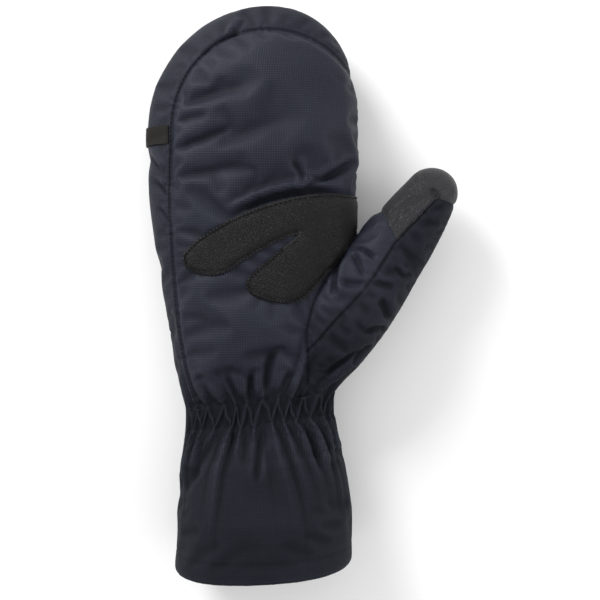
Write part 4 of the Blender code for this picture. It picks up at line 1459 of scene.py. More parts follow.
def make_panel(name, chosen, outer, inner, uv, turn, round_length, finish, lining_finish, tone=None):
    """Closed piece from the chosen faces of the cut skin, with a UV map in metres and painted light and
    wear.
    """
    tone = shade if tone is None else tone
    outward, inward = normals_of(whole_mesh, outer), -normals_of(whole_mesh, inner)
    loops = np.flatnonzero(chosen[loop_face])
    points, local = np.unique(loop_point[loops], return_inverse=True)
    totals = loop_total[chosen]
    starts = np.concatenate([[0], np.cumsum(totals)[:-1]])
    following = np.arange(len(local)) + 1
    following[starts + totals - 1] = starts
    there = local[following]
    count = len(points)
    forward = local.astype(np.int64) * count + there
    backward = there.astype(np.int64) * count + local
    rim = ~np.isin(forward, backward)
    a, b = local[rim], there[rim]
    faces = [local[s : s + n].tolist() for s, n in zip(starts, totals)]
    backs = [[i + count for i in reversed(face)] for face in faces]
    walls = np.stack([b, a, a + count, b + count], axis=1).tolist()
    made = mesh_object(name, np.vstack([outer[points], inner[points]]), faces + backs + walls)
    mesh = made.data
    mesh.materials.append(finish)
    mesh.materials.append(lining_finish)
    slots = np.zeros(len(mesh.polygons), np.int32)
    slots[len(faces) : len(faces) + len(backs)] = 1
    mesh.polygons.foreach_set("material_index", slots)
    corner = np.empty(len(mesh.loops), np.int32)
    mesh.loops.foreach_get("vertex_index", corner)
    add_cloth_map(mesh, points[corner % count], uv, turn, round_length)
    # Per-point value: painted shade and highlight on nylon, wear and painted highlight on leather; none on
    # the lining.
    depth = mesh.attributes.new("shade", "FLOAT", "POINT")
    depth.data.foreach_set("value", np.concatenate([tone[points], tone[points] * 0]).astype(np.float32))
    mesh.shade_smooth()
    mesh.update()
    mesh.normals_split_custom_set_from_vertices(np.vstack([outward[points], inward[points]]).tolist())
    return made


print("each panel is made of outer faces, a rim and a lining")

# %% [markdown]
# ## Helpers for materials
#
# A Blender material is a tree of nodes. These helpers add one node each and return the socket to read
# it from, so that a finish below reads like a sentence. What is the same all over a finish, such as its
# specular level, is set on the shader's own socket.

# %% Helpers for materials
def new_material(name, colour, roughness, specular):
    made = bpy.data.materials.new(name)
    made.use_nodes = True
    shader = made.node_tree.nodes["Principled BSDF"]
    shader.inputs["Base Color"].default_value = (*colour, 1)
    shader.inputs["Roughness"].default_value = roughness
    shader.inputs["Specular IOR Level"].default_value = specular
    return made, made.node_tree, shader


def math_node(tree, operation, first, second=None, third=None):
    node = tree.nodes.new("ShaderNodeMath")
    node.operation = operation
    for socket, value in zip(node.inputs, (first, second, third)):
        if value is None:
            continue
        if isinstance(value, (int, float)):
            socket.default_value = value
        else:
            tree.links.new(value, socket)
    return node.outputs[0]


def mixed_colour(tree, share, first, second):
    node = tree.nodes.new("ShaderNodeMix")
    node.data_type = "RGBA"
    tree.links.new(share, node.inputs["Factor"])
    for socket, value in ((node.inputs[6], first), (node.inputs[7], second)):
        if isinstance(value, tuple):
            socket.default_value = (*value, 1)
        else:
            tree.links.new(value, socket)
    return node.outputs[2]


print("helpers: new_material, math_node, mixed_colour")

# %% [markdown]
# ## Helpers for patterns
#
# A pattern needs a place to be read from. Noise takes it from Object coordinates, weaves take it from the
# cloth's UV map, and painted shade, painted highlight and wear take it from the value each point carries.

# %% Helpers for patterns
def tree_noise(tree, scale, detail=2.0, roughness=0.5):
    """Noise on Object coordinates."""
    node = tree.nodes.new("ShaderNodeTexNoise")
    node.inputs["Scale"].default_value = scale
    node.inputs["Detail"].default_value = detail
    node.inputs["Roughness"].default_value = roughness
    place = tree.nodes.new("ShaderNodeTexCoord").outputs["Object"]
    tree.links.new(place, node.inputs["Vector"])
    return node.outputs["Fac"]


def spread(tree, value, low, high, new_low, new_high):
    node = tree.nodes.new("ShaderNodeMapRange")
    node.inputs["From Min"].default_value = low
    node.inputs["From Max"].default_value = high
    node.inputs["To Min"].default_value = new_low
    node.inputs["To Max"].default_value = new_high
    tree.links.new(value, node.inputs["Value"])
    return node.outputs["Result"]


def add_bump(tree, shader, height, depth, strength=1.0, below=None):
    node = tree.nodes.new("ShaderNodeBump")
    node.inputs["Strength"].default_value = strength
    node.inputs["Distance"].default_value = depth
    tree.links.new(height, node.inputs["Height"])
    if below is not None:
        tree.links.new(below, node.inputs["Normal"])
    tree.links.new(node.outputs["Normal"], shader.inputs["Normal"])
    return node.outputs["Normal"]


def uv_axes(tree):
    """The two axes of the cloth's UV map, in metres."""
    split = tree.nodes.new("ShaderNodeSeparateXYZ")
    uv = tree.nodes.new("ShaderNodeUVMap")
    uv.uv_map = "cloth"
    tree.links.new(uv.outputs["UV"], split.inputs[0])
    return split.outputs[0], split.outputs[1]


def painted_light_and_wear(tree):
    """Painted shade, painted highlight and leather wear that each point of a piece carries."""
    attribute = tree.nodes.new("ShaderNodeAttribute")
    attribute.attribute_name = "shade"
    return attribute.outputs["Fac"]


print("helpers: tree_noise, spread, add_bump, uv_axes, painted_light_and_wear")

# %% [markdown]
# ## Ripstop nylon
#
# The shell is a thin nylon with a heavier thread every millimetre or so, which gives it fine squares and
# a soft gloss. The squares come from the UV map: a wave along each axis is narrowed to thin lines. They
# lift the surface a little and are lighter and glossier than the ground. A slow noise changes the colour
# and the gloss over the panels, and a finer one gives the cloth its crinkle. The painted shade that the
# points carry darkens and dulls the valleys and the regions that are painted as lying in shade.

# %% Ripstop
GRID = 0.00125
LINE_SHARPNESS = 6.0
# Painted shade: the share of each point's value used, how dark the shaded navy is, and how much rougher.
PAINTED_SHADE_SHARE = 0.8
PAINTED_SHADE_COLOUR = 0.2
VALLEY_DULLER = 0.45
NAVY = (0.0078, 0.0088, 0.0150)
NAVY_LIGHT = (0.0205, 0.0228, 0.0370)


def ripstop(name, dark, light, roughness):
    """Nylon with a fine square grid that follows the UV map."""
    made, tree, shader = new_material(name, dark, roughness, 0.15)
    lines = []
    for axis in uv_axes(tree):
        wave = math_node(tree, "COSINE", math_node(tree, "MULTIPLY", axis, 2 * math.pi / GRID))
        half = math_node(tree, "MULTIPLY_ADD", wave, 0.5, 0.5)
        lines.append(math_node(tree, "POWER", half, LINE_SHARPNESS))
    grid = math_node(tree, "MAXIMUM", lines[0], lines[1])
    slow = tree_noise(tree, 28.0, 3.0, 0.55)
    crinkle = tree_noise(tree, 420.0, 4.0, 0.6)
    tone = math_node(tree, "MULTIPLY_ADD", grid, 1.0, spread(tree, slow, 0.35, 0.65, 0.0, 0.35))
    # Painted shade: each point's value mixes the navy towards a darker navy and raises its roughness.
    deep = math_node(tree, "MULTIPLY", painted_light_and_wear(tree), PAINTED_SHADE_SHARE)
    painted_shade_navy = tuple(PAINTED_SHADE_COLOUR * c for c in dark)
    colour = mixed_colour(tree, deep, mixed_colour(tree, tone, dark, light), painted_shade_navy)
    tree.links.new(colour, shader.inputs["Base Color"])
    uneven = spread(tree, slow, 0.3, 0.7, roughness + 0.05, roughness - 0.04)
    gloss = math_node(tree, "MULTIPLY_ADD", grid, -0.06, uneven)
    dulled = math_node(tree, "MULTIPLY_ADD", deep, VALLEY_DULLER, gloss)
    tree.links.new(dulled, shader.inputs["Roughness"])
    first = add_bump(tree, shader, grid, 0.00009, 0.9)
    add_bump(tree, shader, crinkle, 0.00025, 0.5, first)
    return made


RIPSTOP = ripstop("navy_ripstop", NAVY, NAVY_LIGHT, 0.52)
print("made", RIPSTOP.name)

# %% [markdown]
# ## Lining and leather
#
# The lining is a smooth dark taffeta. The leather is matt and has a fine pebble: cells from a Voronoi
# texture, with the creases between them darker and lower, broken up by noise. The value each point carries
# mixes it towards a lighter leather: on the cap this is wear along the seam, and on the patch it is a
# painted highlight along the edge and on the upper corner.

# %% Lining and leather
PEBBLES_A_METRE = 950.0
# How much lighter the leather gets where the points say: wear on the cap, painted highlight on the patch.
WEAR_AND_HIGHLIGHT_LIGHTER = 2.6


def make_lining():
    made, tree, shader = new_material("lining_taffeta", (0.012, 0.013, 0.017), 0.6, 0.35)
    slow = tree_noise(tree, 40.0, 3.0)
    colour = mixed_colour(tree, slow, (0.010, 0.011, 0.015), (0.018, 0.019, 0.025))
    tree.links.new(colour, shader.inputs["Base Color"])
    add_bump(tree, shader, tree_noise(tree, 260.0, 4.0, 0.6), 0.0004, 0.5)
    return made


def make_leather(name, dark, light, specular):
    made, tree, shader = new_material(name, light, 0.45, specular)
    coordinates = tree.nodes.new("ShaderNodeTexCoord").outputs["Object"]
    cells = tree.nodes.new("ShaderNodeTexVoronoi")
    cells.feature = "DISTANCE_TO_EDGE"
    cells.inputs["Scale"].default_value = PEBBLES_A_METRE
    tree.links.new(coordinates, cells.inputs["Vector"])
    pebble = spread(tree, cells.outputs["Distance"], 0.0, 0.25, 0.0, 1.0)
    fine = tree_noise(tree, 1500.0, 4.0, 0.65)
    slow = tree_noise(tree, 34.0, 3.0, 0.5)
    tone = math_node(tree, "MULTIPLY", pebble, spread(tree, slow, 0.35, 0.65, 0.35, 1.0))
    tone = math_node(tree, "MULTIPLY_ADD", fine, 0.35, math_node(tree, "MULTIPLY", tone, 0.75))
    # Wear on the cap, and painted highlight on the patch's edge and upper corner, lighten the colour.
    wear_and_painted_highlight = math_node(tree, "MULTIPLY", painted_light_and_wear(tree), spread(tree, fine, 0.3, 0.7, 0.4, 1.0))
    worn_and_lit_leather = tuple(WEAR_AND_HIGHLIGHT_LIGHTER * c for c in light)
    colour = mixed_colour(tree, wear_and_painted_highlight, mixed_colour(tree, tone, dark, light), worn_and_lit_leather)
    tree.links.new(colour, shader.inputs["Base Color"])
    gloss = math_node(tree, "MULTIPLY_ADD", pebble, -0.12, spread(tree, fine, 0.3, 0.7, 0.58, 0.46))
    tree.links.new(gloss, shader.inputs["Roughness"])
    grain = math_node(tree, "MULTIPLY_ADD", fine, 0.5, pebble)
    add_bump(tree, shader, grain, 0.00018, 1.0)
    return made


LINING = make_lining()
LEATHER = make_leather("grip_leather", (0.0012, 0.0011, 0.0012), (0.0100, 0.0094, 0.0100), 0.17)
TIP_LEATHER = make_leather("tip_leather", (0.0050, 0.0050, 0.0060), (0.0180, 0.0180, 0.0215), 0.30)
print("finishes:", [m.name for m in (LINING, LEATHER, TIP_LEATHER)])

# %% [markdown]
# ## Webbing and thread
#
# The tab is a narrow webbing: two waves, one along each axis of its UV map, give it crossing ribs. The
# thread is almost black and dull, with a twist that a fine noise stands in for.

# %% Webbing and thread
RIB_STEP = 0.0009
CROSS_STEP = 0.0011


def make_webbing():
    made, tree, shader = new_material("woven_tab", (0.012, 0.011, 0.010), 0.85, 0.15)
    along, across = uv_axes(tree)
    ribs = math_node(tree, "SINE", math_node(tree, "MULTIPLY", along, 2 * math.pi / RIB_STEP))
    cross = math_node(tree, "SINE", math_node(tree, "MULTIPLY", across, 2 * math.pi / CROSS_STEP))
    weave = math_node(tree, "MULTIPLY_ADD", math_node(tree, "MULTIPLY", ribs, cross), 0.5, 0.5)
    fuzz = tree_noise(tree, 1800.0, 3.0)
    tone = math_node(tree, "MULTIPLY_ADD", fuzz, 0.5, math_node(tree, "MULTIPLY", weave, 0.6))
    colour = mixed_colour(tree, tone, (0.005, 0.0046, 0.0042), (0.019, 0.0175, 0.016))
    tree.links.new(colour, shader.inputs["Base Color"])
    add_bump(tree, shader, weave, 0.00018, 0.9)
    return made


def make_thread():
    made, tree, shader = new_material("thread", (0.003, 0.003, 0.004), 0.6, 0.15)
    twist = tree_noise(tree, 2200.0, 2.0)
    colour = mixed_colour(tree, twist, (0.002, 0.002, 0.003), (0.008, 0.008, 0.010))
    tree.links.new(colour, shader.inputs["Base Color"])
    return made


WEBBING, THREAD = make_webbing(), make_thread()
print("finishes:", [m.name for m in (WEBBING, THREAD)])

# %% [markdown]
# ## The panels of the mitten
#
# Eight panels come from the skin: the palm, the back, the gusset that runs round the hand, the thumb's
# two panels and its leather cap, the gathered casing and the cuff. Each takes over from the plain solid
# of the same name.

# %% Panels
REFERENCES = {"side_gusset": math.pi, "back_panel": -math.pi / 2}
CAP_EDGE_WEAR = 0.3


def fit_in(piece, node):
    """Lets a piece stand for its plain solid and rides it on the mitten's one body."""
    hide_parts(node)
    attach(piece, "root")
    return piece


seam_wear = CAP_EDGE_WEAR * bump(lay.cap, 0.0008, 0.0008)
for name in PIECES[1:]:
    if name.startswith("thumb"):
        uv, turn, around = thumb_uv(lay.thumb_share, lay.thumb_angle)
    else:
        uv, turn, around = body_uv(lay.station, lay.angle, REFERENCES.get(name, math.pi / 2))
    finish = TIP_LEATHER if name == "thumb_tip" else RIPSTOP
    chosen = face_piece == PIECES.index(name)
    tone = seam_wear if name == "thumb_tip" else None
    sides = (outer_points, body_lining)
    panel = make_panel(f"{name}_cloth", chosen, *sides, uv, turn, around, finish, LINING, tone)
    fit_in(panel, name)
    print(panel.name, len(panel.data.polygons), "faces")

# %% [markdown]
# ## The grip patch
#
# The patch takes the faces of the palm inside its outline and lifts them by the leather's thickness. Its
# edge is thinner and painted lighter as a highlight, as is its upper corner, the stitches press a groove
# beside it, and the leather is full between them.

# %% Patch
LEATHER_THICKNESS = 0.0012
EDGE_ROUNDING = 0.0011
STITCH_GROOVE = 0.0006
PATCH_CROWN = 0.0005
PATCH_LIFT = 0.00015
PATCH_UNDERSIDE = 0.00005
# Painted highlight on the patch's edge and on its upper corner.
EDGE_PAINTED_HIGHLIGHT = 0.75
CORNER_PAINTED_HIGHLIGHT = 0.30

in_patch = (face_piece == PIECES.index("palm_panel")) & (face_mean(numbers["patch"]) > 0)
skin_normals = normals_of(whole_mesh, outer_points)
edge_in = np.minimum(np.abs(depth_in_patch), np.maximum(-lay.on_thumb, 0))
full = np.sqrt(np.clip(1 - (1 - np.clip(edge_in / EDGE_ROUNDING, 0, 1)) ** 2, 0, 1))
stitched = -STITCH_GROOVE * bump(edge_in, 0.0015, 0.0006)
crown = PATCH_CROWN * smooth_step(edge_in, 0.001, 0.006)
over = PATCH_LIFT + LEATHER_THICKNESS * mix(0.35, 1.0, full) + stitched + crown
patch_top = outer_points + skin_normals * over[:, None]
patch_under = outer_points + skin_normals * PATCH_UNDERSIDE
uv, turn, around = body_uv(lay.station, lay.angle, math.pi / 2)
# Painted highlight: the patch's edge and its upper corner are painted lighter.
upper_corner = smooth_step(body_rest[:, 0], 0.020, 0.052) * smooth_step(body_rest[:, 1], -0.022, 0.004)
wear_and_painted_highlight = EDGE_PAINTED_HIGHLIGHT * bump(edge_in, 0.0004, 0.0007) + CORNER_PAINTED_HIGHLIGHT * upper_corner
sides = (patch_top, patch_under)
patch = make_panel("palm_patch_leather", in_patch, *sides, uv, turn, around, LEATHER, LEATHER, wear_and_painted_highlight)
fit_in(patch, "palm_patch")
print(patch.name, len(patch.data.polygons), "faces")

# %% [markdown]
# ## The woven tab
#
# A short length of webbing crosses the gusset from seam to seam. It is drawn over the filled cloth: for
# each of its points a ray goes from outside towards the hand and stops where it meets the cloth. Then it
# gets its thickness and rounded edges.

# %% Tab
TAB_ROWS = 22
TAB_COLUMNS = 64
TAB_HALF_TURN = math.radians(36)
TAB_STEP = 0.0006
TAB_WALL = 0.0013
TAB_EDGE = 0.0003


def skin_tree(pieces):
    """Search tree over the outer faces of some panels."""
    faces = np.isin(face_piece, [PIECES.index(name) for name in pieces])
    polygons = [loop_point[s : s + n].tolist() for s, n in zip(loop_start[faces], loop_total[faces])]
    return BVHTree.FromPolygons(outer_points.tolist(), polygons)


whole_tree = skin_tree(PIECES[1:])


def drop_on(tree, start, aim):
    """Place and normal where a ray meets the cloth."""
    place, normal, _, _ = tree.ray_cast(Vector(start), Vector(aim).normalized())
    if place is None:
        place, normal, _, _ = tree.find_nearest(Vector(start))
    return np.array(place), np.array(normal)


def make_tab():
    rows, columns = TAB_ROWS, TAB_COLUMNS
    stations = np.linspace(TAB_UP - TAB_WIDTH / 2, TAB_UP + TAB_WIDTH / 2, rows)
    angles = np.linspace(math.pi - TAB_HALF_TURN, math.pi + TAB_HALF_TURN, columns)
    grid = np.empty((rows, columns, 3))
    for r, station in enumerate(stations):
        outside = body_surface(np.full(columns, station), angles, 0.015)
        middle = section_at(np.array(station))
        centre = np.array([float(middle.x), 0.0, float(middle.z)])
        for c in range(columns):
            aim = centre - outside[c]
            aim[1] = 0.0
            grid[r, c], _ = drop_on(whole_tree, outside[c], aim)
    index = np.arange(rows * columns).reshape(rows, columns)
    links = np.vstack([
        np.stack([index[:-1].ravel(), index[1:].ravel()], axis=1),
        np.stack([index[:, :-1].ravel(), index[:, 1:].ravel()], axis=1),
    ])
    flat = smoothed(grid.reshape(-1, 3), links, 12)
    faces = []
    for r in range(rows - 1):
        for c in range(columns - 1):
            faces.append((index[r, c], index[r, c + 1], index[r + 1, c + 1], index[r + 1, c]))
    faces = [tuple(int(i) for i in face) for face in faces]
    tab = mesh_object("side_tab_webbing", flat, faces)
    tab.data.materials.append(WEBBING)
    tab.data.update()
    if tab.data.polygons[len(faces) // 2].normal.x > 0:
        tab.data.flip_normals()
    layer = tab.data.uv_layers.new(name="cloth")
    for loop in tab.data.loops:
        r, c = divmod(loop.vertex_index, columns)
        layer.data[loop.index].uv = (c * TAB_STEP, r * TAB_WIDTH / (rows - 1))
    wall = tab.modifiers.new("thickness", "SOLIDIFY")
    wall.thickness = TAB_WALL
    wall.offset = 0.6
    round_edge = tab.modifiers.new("edge", "BEVEL")
    round_edge.width = TAB_EDGE
    round_edge.segments = 2
    round_edge.limit_method = "ANGLE"
    mesh = evaluated_mesh(tab)
    tab.modifiers.clear()
    tab.data = mesh
    tab.data.shade_smooth()
    tab.data.set_sharp_from_angle(angle=math.radians(40))
    return tab


tab = fit_in(make_tab(), "side_tab")
print(tab.name, len(tab.data.polygons), "faces")

# %% [markdown]
# ## Stitches
#
# Hundreds of stitches hold the mitten together. One is a short arch of thread with its ends sunk in the
# cloth, and every seam repeats it. A Geometry Nodes tree does this: it takes a line of edges that lies
# on the cloth, spaces points evenly along it, and puts an arch on each, turned to the line and to the
# cloth's own direction. A lean turns the stitches to and fro, which gives the zigzag round the patch.

# %% Inputs and helper of the stitch tree
STITCH_INPUTS = [
    ("Spacing", 0.0024),
    ("Stitch length", 0.0019),
    ("Thread radius", 0.0002),
    ("Rise", 0.00018),
    ("Lean", 0.0),
]
STITCH_SEED = 5
UNEVEN_TURN = 0.07


class Builder:
    """Adds nodes to one tree and links them."""

    def __init__(self, tree):
        self.tree = tree

    def node(self, kind, **settings):
        made = self.tree.nodes.new(kind)
        for key, value in settings.items():
            setattr(made, key, value)
        return made

    def plug(self, source, target):
        self.tree.links.new(source, target)

    def calculate(self, operation, first, second=0.0, third=0.0):
        made = self.node("ShaderNodeMath", operation=operation)
        for socket, value in zip(made.inputs, (first, second, third)):
            if isinstance(value, (int, float)):
                socket.default_value = value
            else:
                self.plug(value, socket)
        return made.outputs[0]

    def vector(self, x, z):
        made = self.node("ShaderNodeCombineXYZ")
        self.plug(x, made.inputs[0])
        self.plug(z, made.inputs[2])
        return made.outputs[0]


print("inputs of the tree:", [name for name, _ in STITCH_INPUTS])

# %% [markdown]
# ## One stitch, and how it turns
#
# A curve with three points makes the arch, and a small circle run along it makes the thread. The turn
# comes from two directions: the cloth's own, which each point of the line carries, and the line's.

# %% One stitch, and how it turns
def stitch_arch(build, entry):
    """One stitch: thread on an arch whose ends are sunk in the cloth."""
    half = build.calculate("MULTIPLY", entry.outputs["Stitch length"], 0.5)
    sunk = build.calculate("MULTIPLY", entry.outputs["Rise"], -1.2)
    high = build.calculate("MULTIPLY", entry.outputs["Rise"], 2.6)
    nothing = build.calculate("MULTIPLY", half, 0.0)
    arch = build.node("GeometryNodeCurveQuadraticBezier")
    arch.inputs["Resolution"].default_value = 5
    build.plug(build.vector(build.calculate("MULTIPLY", half, -1.0), sunk), arch.inputs["Start"])
    build.plug(build.vector(nothing, high), arch.inputs["Middle"])
    build.plug(build.vector(half, sunk), arch.inputs["End"])
    circle = build.node("GeometryNodeCurvePrimitiveCircle")
    circle.inputs["Resolution"].default_value = 6
    build.plug(entry.outputs["Thread radius"], circle.inputs["Radius"])
    thread = build.node("GeometryNodeCurveToMesh")
    build.plug(arch.outputs[0], thread.inputs["Curve"])
    build.plug(circle.outputs[0], thread.inputs["Profile Curve"])
    thread.inputs["Fill Caps"].default_value = True
    return thread.outputs[0]


def stitch_turn(build, entry):
    """Turn of each stitch: along the line, upright on the cloth, leaning to and fro by turns."""
    up = build.node("GeometryNodeInputNamedAttribute", data_type="FLOAT_VECTOR")
    up.inputs["Name"].default_value = "up"
    tangent = build.node("GeometryNodeInputTangent")
    facing = build.node("FunctionNodeAxesToRotation", primary_axis="Z", secondary_axis="X")
    build.plug(up.outputs["Attribute"], facing.inputs["Primary Axis"])
    build.plug(tangent.outputs[0], facing.inputs["Secondary Axis"])
    index = build.node("GeometryNodeInputIndex")
    parity = build.calculate("FLOORED_MODULO", index.outputs[0], 2.0)
    swing = build.calculate("MULTIPLY_ADD", parity, 2.0, -1.0)
    chance = build.node("FunctionNodeRandomValue", data_type="FLOAT")
    chance.inputs[2].default_value = -UNEVEN_TURN
    chance.inputs[3].default_value = UNEVEN_TURN
    build.plug(entry.outputs["Seed"], chance.inputs["Seed"])
    angle = build.calculate("MULTIPLY_ADD", swing, entry.outputs["Lean"], chance.outputs[1])
    lean = build.node("FunctionNodeAxisAngleToRotation")
    lean.inputs["Axis"].default_value = (0, 0, 1)
    build.plug(angle, lean.inputs["Angle"])
    turned = build.node("FunctionNodeRotateRotation", rotation_space="LOCAL")
    build.plug(facing.outputs[0], turned.inputs["Rotation"])
    build.plug(lean.outputs[0], turned.inputs["Rotate By"])
    return turned.outputs[0]


print("parts of the tree: stitch_arch, stitch_turn")

# %% [markdown]
# ## The tree itself
#
# The tree has named inputs and a fixed seed, so a row of stitches is described by a few numbers. It ends
# with real meshes that carry the thread's material.

# %% The stitch tree
def build_stitch_tree():
    tree = bpy.data.node_groups.new("stitches_on_a_line", "GeometryNodeTree")
    tree.interface.new_socket("Line", in_out="INPUT", socket_type="NodeSocketGeometry")
    for name, value in STITCH_INPUTS:
        socket = tree.interface.new_socket(name, in_out="INPUT", socket_type="NodeSocketFloat")
        socket.default_value = value
    socket = tree.interface.new_socket("Seed", in_out="INPUT", socket_type="NodeSocketInt")
    socket.default_value = STITCH_SEED
    tree.interface.new_socket("Thread", in_out="INPUT", socket_type="NodeSocketMaterial")
    tree.interface.new_socket("Stitches", in_out="OUTPUT", socket_type="NodeSocketGeometry")
    build = Builder(tree)
    entry, way_out = build.node("NodeGroupInput"), build.node("NodeGroupOutput")
    line = build.node("GeometryNodeMeshToCurve")
    build.plug(entry.outputs["Line"], line.inputs["Mesh"])
    even = build.node("GeometryNodeResampleCurve", mode="LENGTH")
    build.plug(line.outputs[0], even.inputs["Curve"])
    build.plug(entry.outputs["Spacing"], even.inputs["Length"])
    row = build.node("GeometryNodeInstanceOnPoints")
    build.plug(even.outputs[0], row.inputs["Points"])
    build.plug(stitch_arch(build, entry), row.inputs["Instance"])
    build.plug(stitch_turn(build, entry), row.inputs["Rotation"])
    real = build.node("GeometryNodeRealizeInstances")
    build.plug(row.outputs[0], real.inputs["Geometry"])
    dressed = build.node("GeometryNodeSetMaterial")
    build.plug(real.outputs[0], dressed.inputs["Geometry"])
    build.plug(entry.outputs["Thread"], dressed.inputs["Material"])
    build.plug(dressed.outputs[0], way_out.inputs[0])
    return tree


STITCH_TREE = build_stitch_tree()
print("stitch tree:", len(STITCH_TREE.nodes), "nodes")

# %% [markdown]
# ## Lines that lie on the cloth
#
# A seam is known in plan only, so its line is dropped on the cloth: a ray from each of its points finds
# the place and the cloth's direction there. `sew` calms such lines, joins them to one mesh of edges,
# lets the tree put stitches on it, and keeps the result as a plain mesh.

# %% Lines that lie on the cloth
LINE_STEP = 0.0006
FAR_ABOVE = 0.2
FAR_BELOW = -0.1


def even_line(line, spacing):
    """Plan line with its points an even spacing apart."""
    line = np.asarray(line, float)
    length = np.concatenate([[0], np.cumsum(np.linalg.norm(np.diff(line, axis=0), axis=1))])
    places = np.arange(0, length[-1], spacing)
    return np.stack([np.interp(places, length, line[:, k]) for k in range(line.shape[1])], axis=1)


def seam_on_cloth(line, below=False, tree=None):
    """Points and normals of the cloth straight under, or over, a plan line."""
    found = []
    tree = tree or whole_tree
    aim = Vector((0, 0, 1 if below else -1))
    for x, y in even_line(line, LINE_STEP):
        start = Vector((x, y, FAR_BELOW if below else FAR_ABOVE))
        place, normal, _, _ = tree.ray_cast(start, aim)
        if place is not None:
            found.append((*place, *normal))
    return np.array(found)


def sew(name, lines, lift=0.0001, smooth=6, **inputs):
    """Stitches along lines on the cloth, as one plain mesh."""
    points, normals, edges = [], [], []
    for line in lines:
        base = sum(len(p) for p in points)
        row = np.stack([np.arange(len(line) - 1), np.arange(1, len(line))], axis=1)
        calm_line = smoothed(line, row, smooth)
        up = calm_line[:, 3:] / np.linalg.norm(calm_line[:, 3:], axis=1)[:, None]
        points.append(calm_line[:, :3] + up * lift)
        normals.append(up)
        edges += (row + base).tolist()
    mesh = bpy.data.meshes.new(name)
    mesh.from_pydata(np.vstack(points).tolist(), edges, [])
    with_vectors(mesh, up=np.vstack(normals))
    made = bpy.data.objects.new(name, mesh)
    bpy.context.scene.collection.objects.link(made)
    modifier = made.modifiers.new("stitches", "NODES")
    modifier.node_group = STITCH_TREE
    sockets = {s.name: s.identifier for s in STITCH_TREE.interface.items_tree if s.in_out == "INPUT"}
    plain = {**dict(STITCH_INPUTS), "Seed": STITCH_SEED, "Thread": THREAD}
    for key, value in {**plain, **inputs}.items():
        modifier[sockets[key]] = value
    result = evaluated_mesh(made)
    made.modifiers.clear()
    made.data = result
    result.shade_smooth()
    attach(made, "root")
    print(name, len(result.polygons), "faces")
    return made


print("a seam's line has a point every", 1000 * LINE_STEP, "mm")

# %% [markdown]
# ## Seams that are sewn
#
# One row of fine stitches follows the gusset on the palm side and one on the back. The thumb's seam is
# topstitched on both its sides.

# %% Seams that are sewn
GUSSET_ROW_ASIDE = 0.0004
THUMB_ROWS_ASIDE = (0.0009, -0.0009)
THUMB_ROW_FROM_X = 0.0315


def shifted(line, distance):
    """Plan line moved aside, to the left of its own direction."""
    run = np.gradient(line, axis=0)
    run /= np.linalg.norm(run, axis=1)[:, None]
    return line + np.column_stack([-run[:, 1], run[:, 0]]) * distance


def bvh_of(mesh):
    return BVHTree.FromPolygons([v.co for v in mesh.vertices], [tuple(p.vertices) for p in mesh.polygons])


def row_of(spacing, length, radius, rise, lean=0.0):
    """Inputs of the stitch tree for one kind of row."""
    sizes = {"Spacing": spacing, "Stitch length": length, "Thread radius": radius}
    return {**sizes, "Rise": rise, "Lean": lean}


gusset_up = GUSSET_LINE[GUSSET_LINE[:, 1] > WRIST_Y - 0.002]
gusset_lines = [seam_on_cloth(shifted(gusset_up, GUSSET_ROW_ASIDE)), seam_on_cloth(gusset_up, True)]
sew("gusset_stitches", gusset_lines, **row_of(spacing=0.0024, length=0.0017, radius=0.00016, rise=0.00015))
thumb_up = THUMB_LINE[THUMB_LINE[:, 0] > THUMB_ROW_FROM_X]
thumb_lines = [seam_on_cloth(shifted(thumb_up, side)) for side in THUMB_ROWS_ASIDE]
sew("thumb_stitches", thumb_lines, **row_of(spacing=0.0021, length=0.0015, radius=0.00014, rise=0.00012))
print("rows:", len(gusset_lines) + len(thumb_lines))

# %% [markdown]
# ## Stitches of the patch
#
# The patch's straight upper edge has a row of plain stitches. A dense zigzag goes round its two prongs
# and ends short of the corner by the thumb. These lines are dropped on the leather itself.

# %% Stitches of the patch
TOP_ROW_IN = 0.0014
PRONG_ROW_IN = 0.0010
TOP_ROW_FROM_X, TOP_ROW_TO_X = 0.004, 0.0615
ZIGZAG_TOP_TO_X, ZIGZAG_TO_X = 0.008, 0.038
ZIGZAG_LEAN = 1.05

patch_tree = bvh_of(patch.data)
upper = shifted(patch_runs[0], TOP_ROW_IN)
straight_top = upper[(upper[:, 0] > TOP_ROW_FROM_X) & (upper[:, 0] < TOP_ROW_TO_X)]
left_top = upper[upper[:, 0] < ZIGZAG_TOP_TO_X]
long_prong, short_prong = (shifted(run, PRONG_ROW_IN) for run in patch_runs[1:])
prongs = [np.vstack([left_top, long_prong]), short_prong]
prongs = [line[line[:, 0] < ZIGZAG_TO_X] for line in prongs]
top_rows = [seam_on_cloth(straight_top, tree=patch_tree)]
sew("patch_topstitches", top_rows, **row_of(spacing=0.0026, length=0.0019, radius=0.00026, rise=0.0002))
zigzag_rows = [seam_on_cloth(line, tree=patch_tree) for line in prongs]
zigzag = row_of(spacing=0.00105, length=0.0021, radius=0.00018, rise=0.0002, lean=ZIGZAG_LEAN)
sew("patch_zigzag_stitches", zigzag_rows, **zigzag)
print("rows on the patch:", len(top_rows) + len(zigzag_rows))

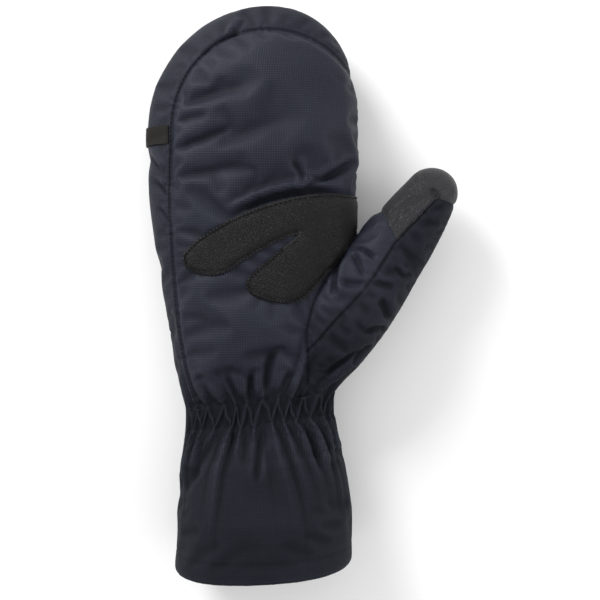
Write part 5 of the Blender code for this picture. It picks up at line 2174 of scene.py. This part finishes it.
# %% [markdown]
# ## Floor and light
#
# The mitten lies on a pale floor. A large soft lamp stands to the upper left and a weaker one to the
# right, and a white sky fills the rest, as in a light tent.

# %% Floor and light
FLOOR_HALF = 3
LAMP_AIM = Vector((0.02, -0.05, 0.02))
SKY_STRENGTH = 0.82


def make_floor():
    corners = [(-FLOOR_HALF, -FLOOR_HALF, 0), (FLOOR_HALF, -FLOOR_HALF, 0)]
    corners += [(FLOOR_HALF, FLOOR_HALF, 0), (-FLOOR_HALF, FLOOR_HALF, 0)]
    floor = mesh_object("floor", corners, [(0, 1, 2, 3)])
    made, _, _ = new_material("pale_floor", (0.9, 0.9, 0.9), 0.9, 0.1)
    floor.data.materials.append(made)
    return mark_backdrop(floor)


def soft_lamp(name, place, size, power):
    light = bpy.data.lights.new(name, "AREA")
    light.shape = "SQUARE"
    light.size = size
    light.energy = power
    lamp = bpy.data.objects.new(name, light)
    bpy.context.scene.collection.objects.link(lamp)
    lamp.location = place
    lamp.rotation_euler = (LAMP_AIM - Vector(place)).to_track_quat("-Z", "Y").to_euler()
    return lamp


make_floor()
soft_lamp("key_lamp", place=(-0.7, 0.85, 0.7), size=0.6, power=17)
soft_lamp("fill_lamp", place=(1.1, 0.0, 0.5), size=0.5, power=5)
world = bpy.data.worlds.new("studio")
world.use_nodes = True
sky = world.node_tree.nodes["Background"]
sky.inputs["Color"].default_value = (1, 1, 1, 1)
sky.inputs["Strength"].default_value = SKY_STRENGTH
bpy.context.scene.world = world
bpy.context.scene.view_settings.view_transform = "Standard"
print("lamps:", [lamp.name for lamp in bpy.data.lights])

# %% [markdown]
# ## Camera
#
# The camera looks straight down from a place over the middle of the picture, far enough away that the
# thick hand isn't drawn out of shape.

# %% Camera
CAMERA_PLACE = (0.022, -0.0534, 0.825)
SENSOR_MM = 36
LENS_MM = 87.3

lens = bpy.data.cameras.new("camera")
lens.sensor_width = SENSOR_MM
lens.lens = LENS_MM
camera = bpy.data.objects.new("camera", lens)
bpy.context.scene.collection.objects.link(camera)
camera.location = CAMERA_PLACE
bpy.context.scene.camera = camera
print("camera at", CAMERA_PLACE)
